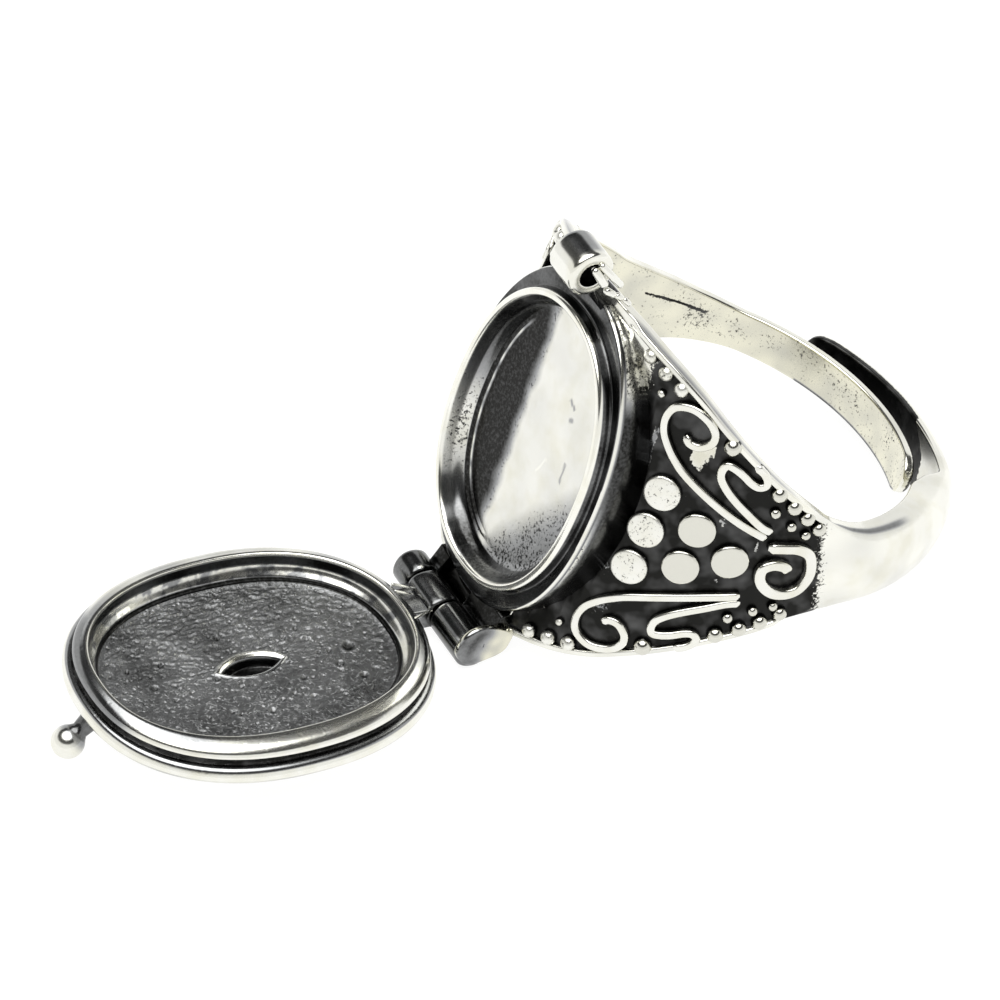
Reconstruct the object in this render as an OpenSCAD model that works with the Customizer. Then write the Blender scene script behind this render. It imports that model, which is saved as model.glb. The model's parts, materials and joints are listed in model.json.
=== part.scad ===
// Poison ring: an adjustable locket ring lying on its side with the lid open.
// Ring axes before the resting tilt: X runs from the locket to the back of the
// shank, Y across the hand, Z along the finger. The origin is the middle of the
// finger hole. The locket faces -X, its hinge is at the low end (-Z).

/* [Finger hole and shoulders] */
// Inner diameter of the finger hole
finger_d = 17.4; // [17:0.1:18]
// Wall thickness of the shoulders
shoulder_t = 0.55; // [0.5:0.05:0.7]
// How far the raised ornament stands out of the shoulders
relief_h = 0.3; // [0.2:0.05:0.4]
// Width of the raised rail along the edges of the shoulders
rail_w = 0.3; // [0.2:0.05:0.4]

/* [Shank] */
// Thickness of the shank at the overlapping ends
end_t = 0.85; // [0.7:0.05:1]
// Free gap between the two overlapping ends
end_gap = 0.65; // [0.4:0.05:0.8]
// Angle past the back of the hand at which the outer end stops
outer_end_angle = 33; // [25:1:40]
// Angle past the back of the hand at which the inner end starts to round off
inner_end_angle = 21; // [19:1:23]

/* [Locket cup] */
// Half length of the cup opening, along the finger
cup_a = 6.57; // [6.4:0.01:6.6]
// Half width of the cup opening
cup_b = 4.8; // [4.6:0.05:4.9]
// Distance of the collar's rim from the finger axis
cup_face = 10.2; // [10.1:0.05:10.4]
// Depth of the cup
cup_depth = 1.1; // [0.8:0.05:1.1]
// Wall thickness of the collar
collar_t = 0.23; // [0.2:0.01:0.3]
// Height of the collar above the ledge that the lid closes on
collar_h = 0.65; // [0.5:0.05:0.7]
// Half length of the ledge
ledge_a = 7.94; // [7.9:0.02:8.1]
// Half width of the ledge
ledge_b = 5.5; // [5.4:0.05:5.8]

/* [Lid] */
// How far the lid stands open
lid_open = 103; // [95:1:105]
// Half length of the lid's rim
rim_a = 8; // [7.9:0.05:8.05]
// Half width of the lid's rim
rim_b = 5.96; // [5.8:0.02:6.1]
// Half length of the recess in the lid
recess_a = 7.1; // [7.05:0.05:7.2]
// Half width of the recess in the lid
recess_b = 5.3; // [5.25:0.05:5.4]
// Depth of the recess
recess_depth = 1.25; // [1:0.05:1.3]
// Thickness of the lid's side wall, rim face to flange
lid_t = 1.6; // [1.55:0.05:1.7]
// Height of the dome on the front of the lid
dome_h = 0.8; // [0.6:0.05:0.8]
// Radius of the ball that a thumbnail lifts
ball_r = 0.73; // [0.6:0.01:0.78]

/* [Hinge and end barrel] */
// Radius of the hinge knuckles
knuckle_r = 0.8; // [0.7:0.05:0.85]
// Radius of the hinge pin
pin_r = 0.35; // [0.3:0.05:0.4]
// Radius of the barrel at the end away from the hinge
barrel_r = 1.05; // [0.95:0.05:1.1]
// Radius of the hole through that barrel
barrel_bore_r = 0.62; // [0.5:0.02:0.7]

/* [Hidden] */

// Tilt at which the ring lies by itself, on its hinge and the edge of its shank
rest_tilt = 23.4;
finger_r = finger_d / 2;
shoulder_r = finger_r + shoulder_t;
relief_r = shoulder_r + relief_h;
overlap = 0.2;
oval_power = 2.2;
oval_steps = 56;

// Edge of the shoulders: angle from the locket's middle, half height there
EDGE = [[0, 8.35], [15, 8.2], [28, 7.75], [40, 7.05], [50, 6.1], [60, 5.1],
        [70, 4.15], [80, 3.25], [90, 2.4], [96, 1.95]];

// Shank that ends outside: angle, inner radius, crown radius, half height
sunk_r = finger_r - overlap;
outer_in = finger_r + end_gap + 0.65;
outer_crown = outer_in + end_t;
SHANK_OUT = [[-100, sunk_r, 9.1, 2.5], [-90, sunk_r, 9.75, 2.25], [-77, sunk_r, 10.15, 1.95],
             [-60, sunk_r, 10.45, 1.85], [-43, sunk_r, 10.75, 1.6], [-34, 9.3, 10.85, 1.45],
             [-28, outer_in, 10.9, 1.35], [-10, outer_in, outer_crown, 1.15],
             [10, outer_in, outer_crown, 1.05], [outer_end_angle - 4, outer_in, outer_crown, 0.95],
             [outer_end_angle - 1, outer_in, outer_crown, 0.75],
             [outer_end_angle, outer_in + 0.15, outer_crown - 0.15, 0.4]];
// Shank that ends inside: the same columns, up to its rounded end
SHANK_IN = [[100, sunk_r, 9.05, 2.5], [90, sunk_r, 9.5, 2.2], [77, sunk_r, 9.45, 1.75], [62, sunk_r, 9.4, 1.2],
            [48, sunk_r, 9.35, 0.95], [24, sunk_r, 9.35, 0.95], [0, sunk_r, 9.3, 0.95],
            [-inner_end_angle, sunk_r, 9.3, 0.9]];
// Thickness of the shank's edges as a share of its crown
edge_share = 0.45;

// Locket levels, as distances from the finger axis
ledge_x = cup_face - collar_h;
floor_x = cup_face - cup_depth;

// Lid levels when it is closed, and how far it sits towards the ball's end
lid_shift = 0.1;
seat_gap = 0.05;
lid_rim_x = ledge_x + seat_gap;
lid_floor_x = lid_rim_x + recess_depth;
lid_flange_x = lid_rim_x + lid_t;
lid_front_x = lid_flange_x + dome_h;
band_h = 0.5;
groove_h = 0.35;
groove_in = 0.2;
flange_a = 8.1;
flange_b = 6.25;
eye_a = 1.5;
eye_b = 0.65;
eye_depth = 0.6;

// Hinge axis and the widths of its three knuckles, along Y
hinge_x = -10.33;
hinge_z = -9.13;
far_lug = [2, 3.1];
lid_knuckle = [-0.13, 1.93];
near_lug = [-3.05, -0.2];
pin_fit = 0.02;
running_fit = 0.05;

barrel_x = -11.1;
barrel_z = 9.55;
barrel_y = [-1.15, 1.1];
ball_x = -12.73;
ball_z = 8.35;
neck_r = 0.4;
neck_l = 2;
neck_turn = 133.8;

// Outlines of the plates that carry the ends: lug webs, barrel foot and lid straps
foot_x = 0.3 - finger_r;
foot_side_x = 0.02 - ledge_x;
LUG_BRIDGE = [[0.1 - ledge_x, 0.3 - ledge_a], [foot_x, 0.8 - ledge_a], [foot_x, -0.25 - ledge_a],
              [hinge_x + 1.02, hinge_z - 0.12], [hinge_x + 0.9, hinge_z + 0.4]];
LUG_WEB = [[hinge_x + 0.6, hinge_z + 0.5], [hinge_x + 0.93, 0.3 - ledge_a], [foot_x, 0.8 - ledge_a],
           [foot_x, -0.25 - ledge_a], [hinge_x + 0.4, hinge_z - 0.68]];
BARREL_FOOT = [[barrel_x + 0.7, barrel_z - 0.78], [barrel_x + 1.02, barrel_z + 0.2],
               [-finger_r, EDGE[0][1] - 0.1], [-finger_r, ledge_a - 0.4], [foot_side_x, ledge_a - 0.4],
               [foot_side_x, rim_a + lid_shift + 0.15]];
LID_STRAP = [[hinge_x - 0.7, hinge_z + 0.3], [hinge_x + 0.55, hinge_z + 0.5],
             [-lid_rim_x - 0.12, 0.6 - rim_a], [-lid_flange_x + 0.15, 0.6 - rim_a]];

// Angles from the locket's middle between which the rails run, and how low they stay
rail_ends = [22, 84];
rail_drop = 0.1;
// Discs: angle from the locket's middle and the height of each one in the column
disc_r = 0.82;
disc_pitch = 1.97;
DISCS = [[41, [-1, 0, 1]], [53, [-0.5, 0.5]], [64.2, [0]]];
// Scrolls of flat wire: angle from the locket's middle and height
wire_r = 0.205;
wire_sides = 6;
wire_lift = relief_h - wire_r;
wire_tip_share = 0.55;
LONG_SCROLL = [[70.5, 1.55], [62, 2], [53, 2.6], [44.7, 3.25], [40.5, 3.7], [37.2, 4.2], [34.8, 4.75],
               [34, 5.4], [35.4, 6], [39.6, 6.3], [44.2, 6.12], [47.1, 5.7], [47.4, 5.2], [44.9, 4.78],
               [42.2, 4.75], [40.4, 5]];
SHORT_SCROLL = [[71.4, 1.9], [67.9, 2.08], [63.5, 2.5], [59.2, 2.93], [55.7, 3.35], [53.1, 3.8],
                [52.5, 4.2], [53.3, 4.5], [55.4, 4.47], [58.2, 4.28], [60.6, 4.05], [62.8, 3.95],
                [64.4, 4.1], [64.2, 4.4], [62.5, 4.68], [60, 4.88]];
END_SPIRAL = [[72.1, 1.12], [76.3, 1.22], [80.3, 1.25], [83.8, 1.02], [85.9, 0.49], [86.9, -0.19],
              [85.6, -0.82], [82.6, -1.12], [78.5, -1.13], [75, -0.82], [73.2, -0.39], [73.2, 0.05],
              [75.5, 0.31], [78.6, 0.28], [80.5, 0.02]];
// Granules: angle from the locket's middle, height, radius
bead_lift = 0.05;
GRANULES = [[23.7, 7.35, 0.33], [29.3, 7.08, 0.35], [34.7, 6.8, 0.35], [52.6, 5.35, 0.4], [69, 3.78, 0.37],
            [74.4, 3.27, 0.36], [79.3, 2.8, 0.35], [84, 2.28, 0.33], [30.3, 6.13, 0.19],
            [70.2, 2.82, 0.24], [76, 2.28, 0.24], [81, 1.92, 0.23]];

// Point of an oval with slightly squared ends, at angle t
function oval_point(a, b, t) =
    [sign(cos(t)) * b * pow(abs(cos(t)), 2 / oval_power), sign(sin(t)) * a * pow(abs(sin(t)), 2 / oval_power)];
function oval_points(a, b) = [for (i = [0:oval_steps - 1]) oval_point(a, b, 360 * i / oval_steps)];

// Smooth curve through the rows of a table, steps points to each span
function blend(p, q, r, s, t) =
    0.5 * (2 * q + (r - p) * t + (2 * p - 5 * q + 4 * r - s) * t * t + (3 * q - p - 3 * r + s) * t * t * t);
function row_at(table, i) = table[max(0, min(len(table) - 1, i))];
function smooth(table, steps) = concat(
    [for (i = [0:len(table) - 2]) for (k = [0:steps - 1])
        blend(row_at(table, i - 1), row_at(table, i), row_at(table, i + 1), row_at(table, i + 2), k / steps)],
    [table[len(table) - 1]]);

// Skin of a body swept through rings of n points each
function sweep_sides(rings, n) = [for (i = [0:rings - 2]) for (j = [0:n - 1]) each
    [[i * n + j, i * n + (j + 1) % n, (i + 1) * n + j],
     [i * n + (j + 1) % n, (i + 1) * n + (j + 1) % n, (i + 1) * n + j]]];
module sweep(rings) {
    n = len(rings[0]);
    polyhedron(points = [for (ring = rings) each ring],
        faces = concat([[for (j = [n - 1:-1:0]) j]], sweep_sides(len(rings), n),
            [[for (j = [0:n - 1]) (len(rings) - 1) * n + j]]));
}

// Oval block that faces -X, from level x0 to level x1
module oval_block(a, b, x0, x1) {
    translate([-x1, 0, 0]) rotate([90, 0, 90]) linear_extrude(x1 - x0) polygon(oval_points(a, b));
}

// Solid or bore along Y, about a point of the XZ plane
module bar_y(x, z, r, ends, grow = 0) {
    translate([x, ends[1] + grow, z]) rotate([90, 0, 0]) cylinder(r = r, h = ends[1] - ends[0] + 2 * grow, $fn = 48);
}

// Plate across Y with an outline in the XZ plane
module plate_y(outline, ends) {
    translate([0, ends[1], 0]) rotate([90, 0, 0]) linear_extrude(ends[1] - ends[0]) polygon(outline);
}

// D-shaped section of the shank at one row of its table
crown_steps = 6;
function shank_ring(s) = let (edge_r = s[1] + (s[2] - s[1]) * edge_share)
    [for (p = concat([[s[1], -s[3]]],
        [for (k = [0:crown_steps]) let (t = -90 + 180 * k / crown_steps)
            [edge_r + (s[2] - edge_r) * cos(t), s[3] * sin(t)]],
        [[s[1], s[3]]]))
        [p[0] * cos(s[0]), p[0] * sin(s[0]), p[1]]];

module shank(table) {
    rings = [for (s = smooth(table, 3)) shank_ring(s)];
    sweep(table[0][0] > 0 ? [for (i = [len(rings) - 1:-1:0]) rings[i]] : rings);
}

// Rounded end of the shank that ends inside
module inner_end() {
    end = SHANK_IN[len(SHANK_IN) - 1];
    rotate([0, 0, end[0]]) translate([sunk_r, 0, 0]) rotate([0, 90, 0])
        cylinder(r = end[3] - 0.02, h = end[2] - sunk_r - 0.04, $fn = 40);
}

// Plate across Y whose outline is the tapering edge of the shoulders, drawn in by inset
module shoulder_plate(inset = 0) {
    half = [for (e = EDGE) [-shoulder_r * cos(e[0]), e[1] - inset]];
    plate_y(concat([[-finger_d, half[0][1]]], half, [for (i = [len(half) - 1:-1:0]) [half[i][0], -half[i][1]]],
        [[-finger_d, -half[0][1]]]), [-finger_d, finger_d]);
}

// Tube round the finger, cut to that edge
module shoulders() {
    intersection() {
        cylinder(r = shoulder_r, h = finger_d * 1.2, center = true, $fn = 96);
        shoulder_plate();
    }
}

// Raised rail along the edges of both shoulders
module rails() {
    ends = [for (a = rail_ends) -shoulder_r * cos(a)];
    intersection() {
        cylinder(r = relief_r - rail_drop, h = finger_d * 1.2, center = true, $fn = 96);
        difference() {
            shoulder_plate();
            shoulder_plate(rail_w);
        }
        translate([ends[0], -finger_d, -finger_d]) cube([ends[1] - ends[0], 2 * finger_d, 2 * finger_d]);
    }
}

// Place on the shoulder at an angle from the locket's middle; side is 1 far, -1 near
module on_shoulder(angle, z, r) {
    rotate([0, 0, 180 - angle]) translate([r, 0, z]) children();
}

// Wire laid on the shoulder along a table of angles and heights
module wire(table, height) {
    path = [for (p = smooth(table, 2)) let (r = shoulder_r + wire_lift)
        [-r * cos(p[0]), r * sin(p[0]), p[1] * height]];
    last = len(path) - 1;
    rings = [for (i = [0:last]) let (
            out = [path[i][0], path[i][1], 0] / norm([path[i][0], path[i][1]]),
            run = path[min(last, i + 1)] - path[max(0, i - 1)],
            side = cross(run, out) / norm(cross(run, out)),
            thin = (i == 0 || i == last) ? wire_tip_share : 1)
        [for (k = [0:wire_sides - 1]) let (t = 360 * k / wire_sides + 30)
            path[i] + wire_r * thin * (side * cos(t) + out * sin(t))]];
    sweep(rings);
}

// Raised ornament of one shoulder: discs, mirrored scrolls, granules and an end spiral
module ornament() {
    for (column = DISCS)
        for (place = column[1])
            on_shoulder(column[0], place * disc_pitch, shoulder_r - overlap)
                rotate([0, 90, 0]) cylinder(r = disc_r, h = relief_h + overlap, $fn = 32);
    wire(END_SPIRAL, 1);
    for (half = [-1, 1]) {
        wire(LONG_SCROLL, half);
        wire(SHORT_SCROLL, half);
        for (g = GRANULES)
            on_shoulder(g[0], half * g[1], shoulder_r + bead_lift) sphere(r = g[2], $fn = 16);
    }
}

// Oval cup: outer wall up to the ledge, and the thin collar above it
module cup_walls() {
    oval_block(ledge_a, ledge_b, finger_r * 0.76, ledge_x);
    oval_block(cup_a + collar_t, cup_b + collar_t, ledge_x - overlap, cup_face);
}

// Two hinge lugs with a web to the foot of the cup, and the barrel at the other end
module lugs_and_barrel() {
    for (ends = [far_lug, near_lug]) {
        bar_y(hinge_x, hinge_z, knuckle_r, ends);
        plate_y(LUG_WEB, ends);
    }
    plate_y(LUG_BRIDGE, [near_lug[1] - overlap, far_lug[0] + overlap]);
    bar_y(barrel_x, barrel_z, barrel_r, barrel_y);
    plate_y(BARREL_FOOT, [barrel_y[0] + overlap, barrel_y[1] - overlap]);
}

module finger_hole() {
    rotate([0, 0, 175]) cylinder(r = finger_r, h = finger_d * 2, center = true, $fn = 96);
}

module ring_body() {
    color([0.74, 0.74, 0.71]) rotate([0, rest_tilt, 0]) difference() {
        union() {
            shoulders();
            rails();
            shank(SHANK_OUT);
            shank(SHANK_IN);
            inner_end();
            cup_walls();
            lugs_and_barrel();
            ornament();
            mirror([0, 1, 0]) ornament();
        }
        finger_hole();
        oval_block(cup_a, cup_b, floor_x, cup_face + overlap);
        bar_y(hinge_x, hinge_z, pin_r + pin_fit, [near_lug[0], far_lug[1]], overlap);
        bar_y(barrel_x, barrel_z, barrel_bore_r, barrel_y, overlap);
    }
}

// Rim, groove and flange of the lid, closed position
module lid_walls() {
    groove_x = lid_rim_x + band_h;
    flange_x = groove_x + groove_h;
    oval_block(rim_a, rim_b, lid_rim_x, groove_x);
    oval_block(rim_a - groove_in, rim_b - groove_in, lid_rim_x, lid_flange_x);
    oval_block(flange_a, flange_b, flange_x, lid_flange_x);
}

// Plain low dome on the front of the lid
module lid_dome() {
    hull() {
        oval_block(flange_a - 0.3, flange_b - 0.3, lid_flange_x - overlap, lid_flange_x);
        oval_block(flange_a - 1.9, flange_b - 1.7, lid_flange_x, lid_flange_x + 0.65 * dome_h);
        oval_block(flange_a - 3.6, flange_b - 3.1, lid_flange_x, lid_front_x);
    }
}

// Pointed oval hole in the floor of the lid
module eye() {
    side_r = (eye_a * eye_a + eye_b * eye_b) / (2 * eye_b);
    arc = asin(eye_a / side_r);
    half = [for (i = [-4:4]) [side_r * cos(arc * i / 4) - side_r + eye_b, side_r * sin(arc * i / 4)]];
    translate([-lid_floor_x - eye_depth, 0, 0]) rotate([90, 0, 90]) linear_extrude(eye_depth + overlap)
        polygon(concat(half, [for (i = [len(half) - 2:-1:1]) [-half[i][0], half[i][1]]]));
}

// Ball on a short neck, and the tab with the middle knuckle
module lid_ends() {
    translate([ball_x, 0, ball_z]) {
        sphere(r = ball_r, $fn = 40);
        rotate([0, neck_turn, 0]) cylinder(r = neck_r, h = neck_l, $fn = 24);
    }
    bar_y(hinge_x, hinge_z, knuckle_r - pin_fit, lid_knuckle);
    plate_y(LID_STRAP, lid_knuckle);
}

module lid() {
    color([0.62, 0.62, 0.6]) rotate([0, rest_tilt, 0])
    translate([hinge_x, 0, hinge_z]) rotate([0, -lid_open, 0]) translate([-hinge_x, 0, -hinge_z]) difference() {
        union() {
            translate([0, 0, lid_shift]) {
                lid_walls();
                lid_dome();
            }
            lid_ends();
        }
        translate([0, 0, lid_shift]) {
            oval_block(recess_a, recess_b, lid_rim_x - overlap, lid_floor_x);
            eye();
        }
        bar_y(hinge_x, hinge_z, pin_r + running_fit, lid_knuckle, overlap);
    }
}

module hinge_pin() {
    color([0.55, 0.55, 0.54]) rotate([0, rest_tilt, 0])
        bar_y(hinge_x, hinge_z, pin_r, [near_lug[0] + 0.05, far_lug[1] - 0.05]);
}

ring_body();
lid();
hinge_pin();
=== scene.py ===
"""Adjustable silver locket ring: cast band, granulated shoulders, oval locket and hinged lid."""

import json
import math

import bpy
import numpy as np
from bpy.props import FloatProperty, FloatVectorProperty, IntProperty, PointerProperty
from mathutils import Matrix, Vector, noise


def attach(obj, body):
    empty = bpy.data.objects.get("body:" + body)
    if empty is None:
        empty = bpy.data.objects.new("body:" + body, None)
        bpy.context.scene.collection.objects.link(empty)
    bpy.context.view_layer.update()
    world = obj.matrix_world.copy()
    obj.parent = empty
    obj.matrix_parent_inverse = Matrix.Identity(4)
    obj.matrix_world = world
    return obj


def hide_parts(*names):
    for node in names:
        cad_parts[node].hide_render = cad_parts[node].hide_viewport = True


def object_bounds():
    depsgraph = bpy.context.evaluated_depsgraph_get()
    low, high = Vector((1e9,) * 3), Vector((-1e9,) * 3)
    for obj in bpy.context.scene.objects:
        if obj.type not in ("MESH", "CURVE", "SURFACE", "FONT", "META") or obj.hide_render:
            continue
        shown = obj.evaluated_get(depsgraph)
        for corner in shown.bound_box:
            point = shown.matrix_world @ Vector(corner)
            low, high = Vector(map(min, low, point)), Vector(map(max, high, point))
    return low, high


bl_info = {
    "name": "Silver locket ring",
    "version": (1, 0, 0),
    "blender": (4, 5, 0),
    "location": "View3D > Sidebar > Ring",
    "description": "Builds the pieces and finishes of an adjustable locket ring",
    "category": "Object",
}

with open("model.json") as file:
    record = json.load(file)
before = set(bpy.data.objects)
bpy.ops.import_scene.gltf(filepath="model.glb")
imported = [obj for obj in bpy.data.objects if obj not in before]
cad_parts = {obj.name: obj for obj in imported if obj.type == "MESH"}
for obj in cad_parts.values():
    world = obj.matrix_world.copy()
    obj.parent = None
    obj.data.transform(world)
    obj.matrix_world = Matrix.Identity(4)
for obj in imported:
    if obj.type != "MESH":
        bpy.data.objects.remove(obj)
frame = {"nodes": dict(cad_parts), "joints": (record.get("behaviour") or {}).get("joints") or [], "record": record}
CAD_BOX = [list(corner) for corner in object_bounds()]

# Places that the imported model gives. Ring axes are its own before the resting tilt, in millimetres:
# x from the locket to the back of the shank, y across the hand, z along the finger.
MM = 0.001
FINGER_HOLE = next(m for m in frame["record"]["mounts"] if m["name"] == "finger_hole")
LID_HINGE = next(j for j in frame["joints"] if j["name"] == "lid_hinge")
FINGER_R = FINGER_HOLE["dims"]["r_mm"]
REST_TILT = math.atan2(FINGER_HOLE["axis"][0], FINGER_HOLE["axis"][2])
LID_OPEN = math.radians(LID_HINGE["range_deg"][1])
RING_TO_WORLD = Matrix.Rotation(REST_TILT, 4, "Y") @ Matrix.Scale(MM, 4)
HINGE = RING_TO_WORLD.inverted() @ Vector(LID_HINGE["pos_m"])
LID_TO_RING = Matrix.Translation(HINGE) @ Matrix.Rotation(-LID_OPEN, 4, "Y") @ Matrix.Translation(-HINGE)
LID_TO_WORLD = RING_TO_WORLD @ LID_TO_RING
RING_BODY = "ring"
LID_BODY = "locket_lid"

# Band, measured along its turn: angle from the locket's middle, positive on the camera's side
# columns of SHOULDER: angle, half height
SHOULDER = (
    (0, 8.35), (15, 8.2), (28, 7.72), (40, 6.98), (50, 6.05), (60, 5.08), (70, 4.12), (80, 3.25), (84, 2.9),
)
# columns of the shanks: angle, inner radius, radius of the rounded sides, crown radius, half height,
# width of the rounding
INNER_SHANK = (
    (88, 8.7, 9.2, 9.3, 2.55, 0.12), (92, 8.7, 9.15, 9.42, 2.3, 0.5), (96, 8.7, 9.12, 9.46, 2.08, 0.9),
    (103, 8.7, 9.1, 9.46, 1.75, 1.0), (118, 8.7, 9.05, 9.4, 1.2, 0.9), (132, 8.7, 9.0, 9.36, 0.96, 0.8),
    (156, 8.7, 9.0, 9.33, 0.95, 0.8), (180, 8.7, 9.0, 9.3, 0.95, 0.8), (200, 8.7, 9.0, 9.28, 0.93, 0.8),
    (203.5, 8.7, 9.0, 9.26, 0.79, 0.65), (205.4, 8.72, 9.0, 9.22, 0.56, 0.45),
    (206.4, 8.78, 8.95, 9.1, 0.25, 0.2),
)
OUTER_SHANK = (
    (88, 8.7, 9.2, 9.34, 2.55, 0.14), (91.5, 8.7, 9.15, 9.6, 2.36, 0.7), (96, 8.7, 9.15, 9.86, 2.14, 1.2),
    (103, 8.7, 9.2, 10.1, 1.95, 1.5), (120, 8.7, 9.3, 10.43, 1.85, 1.6), (137, 8.7, 9.6, 10.72, 1.6, 1.4),
    (146, 9.2, 9.9, 10.82, 1.46, 1.3), (152, 10.0, 10.2, 10.88, 1.36, 1.2),
    (170, 10.0, 10.25, 10.84, 1.15, 1.0), (190, 10.0, 10.25, 10.84, 1.05, 0.9),
    (206, 10.0, 10.25, 10.83, 0.96, 0.85), (210, 10.02, 10.25, 10.8, 0.84, 0.7),
    (212, 10.08, 10.25, 10.74, 0.6, 0.5), (213, 10.2, 10.35, 10.62, 0.28, 0.2),
)
SHOULDER_R = 9.25
RELIEF_R = 9.55
RAIL_R = 9.45
RAIL_WIDTH = 0.3
RAIL_ENDS = (14, 87)
EDGE_SOFT = 0.1
# Half sizes of the oval in which the band is sunk under the cup, and its radius there
UNDER_CUP = (7.75, 5.35)
SUNK_R = 8.92

# Angles beyond which the outer and the inner end face each other, and how far out the oxide and painted shade
# between them go
OVERLAP = (150, -145)
OVERLAP_R = 10.07
# Radius of the grey line along the sides of the shoulders
SIDE_LINE_R = 9.12
# Edge of the oxide and painted shadow inside the outer end of the shank: angle, height
SHADE_EDGE = ((160, -1.6), (162, -0.7), (164.4, 0.22), (169.8, 0.74), (175.3, 1.24), (183, 1.6))
# Pitted places of the far inner face: angle, height, spread
INNER_PITS = ((114, 0.4, 9), (126, 0.0, 8), (140, -0.2, 6), (163, -0.3, 9), (174, 0.1, 7))
# Thin dark line on the far inner face: where it starts and ends, its height and its fall per degree
INNER_LINE = (98.5, 119.2, 0.76, 0.0193)
# Worn places of the near ground: angle, height, their half sizes, how bare, how grey
GROUND_MARKS = (
    (45.9, 4.32, 2.9, 0.42, 1.0, 0.12), (47.6, 4.62, 1.6, 0.3, 0.9, 0.1), (33.2, 3.9, 1.0, 0.8, 0.75, 0.62),
    (33.8, 3.1, 0.8, 0.5, 0.6, 0.66), (58.5, 1.75, 1.0, 0.14, 0.7, 0.45), (63.5, -1.3, 1.6, 0.12, 0.7, 0.4),
    (69.5, 0.9, 0.6, 0.25, 0.7, 0.4), (38.0, -4.4, 2.2, 0.35, 0.45, 0.7), (35.0, -2.5, 1.2, 0.5, 0.4, 0.72),
)
# Ornament of one shoulder, as angle from the locket's middle and height
DISC_R = 0.82
DISC_PITCH = 1.97
DISC_COLUMNS = ((41, (-1, 0, 1)), (53, (-0.5, 0.5)), (64.2, (0,)))
LONG_SCROLL = (
    (70.5, 1.55), (62, 2.0), (53, 2.6), (44.7, 3.25), (40.5, 3.7), (37.2, 4.2), (34.8, 4.75), (34, 5.4),
    (35.4, 6.0), (39.6, 6.3), (44.2, 6.12), (47.1, 5.7), (47.4, 5.2), (44.9, 4.78), (42.2, 4.75),
    (40.4, 5.0),
)
SHORT_SCROLL = (
    (71.4, 1.9), (67.9, 2.08), (63.5, 2.5), (59.2, 2.93), (55.7, 3.35), (53.1, 3.8), (52.5, 4.2),
    (53.3, 4.5), (55.4, 4.47), (58.2, 4.28), (60.6, 4.05), (62.8, 3.95), (64.4, 4.1), (64.2, 4.4),
    (62.5, 4.68), (60, 4.88),
)
END_SPIRAL = (
    (72.1, 1.12), (76.3, 1.22), (80.3, 1.25), (83.8, 1.02), (85.9, 0.49), (86.9, -0.19), (85.6, -0.82),
    (82.6, -1.12), (78.5, -1.13), (75, -0.82), (73.2, -0.39), (73.2, 0.05), (75.5, 0.31), (78.6, 0.28),
    (80.5, 0.02),
)
SPIRAL_WIDTH = 1.38
# Granules: angle, height, radius
GRANULES = (
    (23.7, 7.35, 0.33), (29.3, 7.08, 0.35), (34.7, 6.8, 0.35), (52.6, 5.35, 0.4), (69, 3.78, 0.37),
    (74.4, 3.27, 0.36), (79.3, 2.8, 0.35), (84, 2.28, 0.33), (30.3, 6.13, 0.19), (70.2, 2.82, 0.25),
    (76, 2.28, 0.24), (81, 1.92, 0.23),
)

# Cup, as loft stations: half length, half width, distance from the finger axis, corner radius
CUP = (
    (0, 0, 9.05, 0), (4.6, 2.9, 9.06, 0.6), (5.95, 4.15, 9.12, 0.35), (6.3, 4.5, 9.4, 0.3),
    (6.55, 4.78, 10.19, 0.1), (6.84, 5.07, 10.19, 0.2), (6.88, 5.11, 9.55, 0.12), (7.9, 5.46, 9.545, 0.12),
    (7.95, 5.52, 9.2, 0.1), (7.93, 5.5, 8.8, 0), (4, 3, 8.8, 0), (0, 0, 8.8, 0),
)
# Ovals of the cup: its inner wall, its outer wall, and the seam along the inner wall's foot
CUP_INSIDE = (6.57, 4.8)
CUP_OUTSIDE = (7.87, 5.43)
SEAM_OVAL = (5.72, 3.98)
# Millimetres off the seam for each unit of the oval's measure
SEAM_SCALE = 2.1
# Level that parts the cup's floor from its wall, and where the bright rim starts
CUP_FLOOR_TOP = 9.2
CUP_RIM = 10.0
# Marks on the cup's floor: along and across of both ends, width, how dark
CUP_MARKS = (
    (2.82, -0.92, 2.66, -1.39, 0.09, 0.5), (2.1, -1.4, 2.16, -1.5, 0.16, 0.35),
    (-1.12, -0.69, -0.3, -1.0, 0.08, -0.08), (-0.5, -2.3, 0.4, -2.2, 0.08, 0.4),
)
# Lid, closed, the same columns: floor, inner ledge, rim, side band, groove, flange and low dome
LID = (
    (0, 0, 10.84, 0), (6.4, 4.6, 10.84, 0.2), (6.62, 4.8, 10.74, 0.08), (6.68, 4.86, 10.56, 0.06),
    (6.9, 5.09, 10.36, 0.1), (7.01, 5.21, 10.2, 0.08), (7.04, 5.23, 9.8, 0.1), (7.08, 5.26, 9.64, 0.06),
    (7.14, 5.31, 9.6, 0.05), (7.26, 5.47, 9.6, 0.1), (7.48, 5.86, 9.7, 0.25), (7.66, 6.09, 9.88, 0.25),
    (7.71, 6.18, 10.1, 0.1), (7.56, 6.02, 10.18, 0.07), (7.58, 6.04, 10.44, 0.07), (7.87, 6.41, 10.49, 0.14),
    (8.0, 6.6, 10.77, 0.22), (8.0, 6.59, 11.04, 0.2), (7.74, 6.26, 11.24, 0.3), (7.0, 5.4, 11.47, 1),
    (6.2, 4.55, 11.66, 1), (5.2, 3.7, 11.82, 1), (4.1, 2.85, 11.91, 1), (2.6, 1.8, 11.98, 1),
    (1.2, 0.85, 12.0, 1), (0, 0, 12.0, 0),
)
LID_POWER = 2.25
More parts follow.
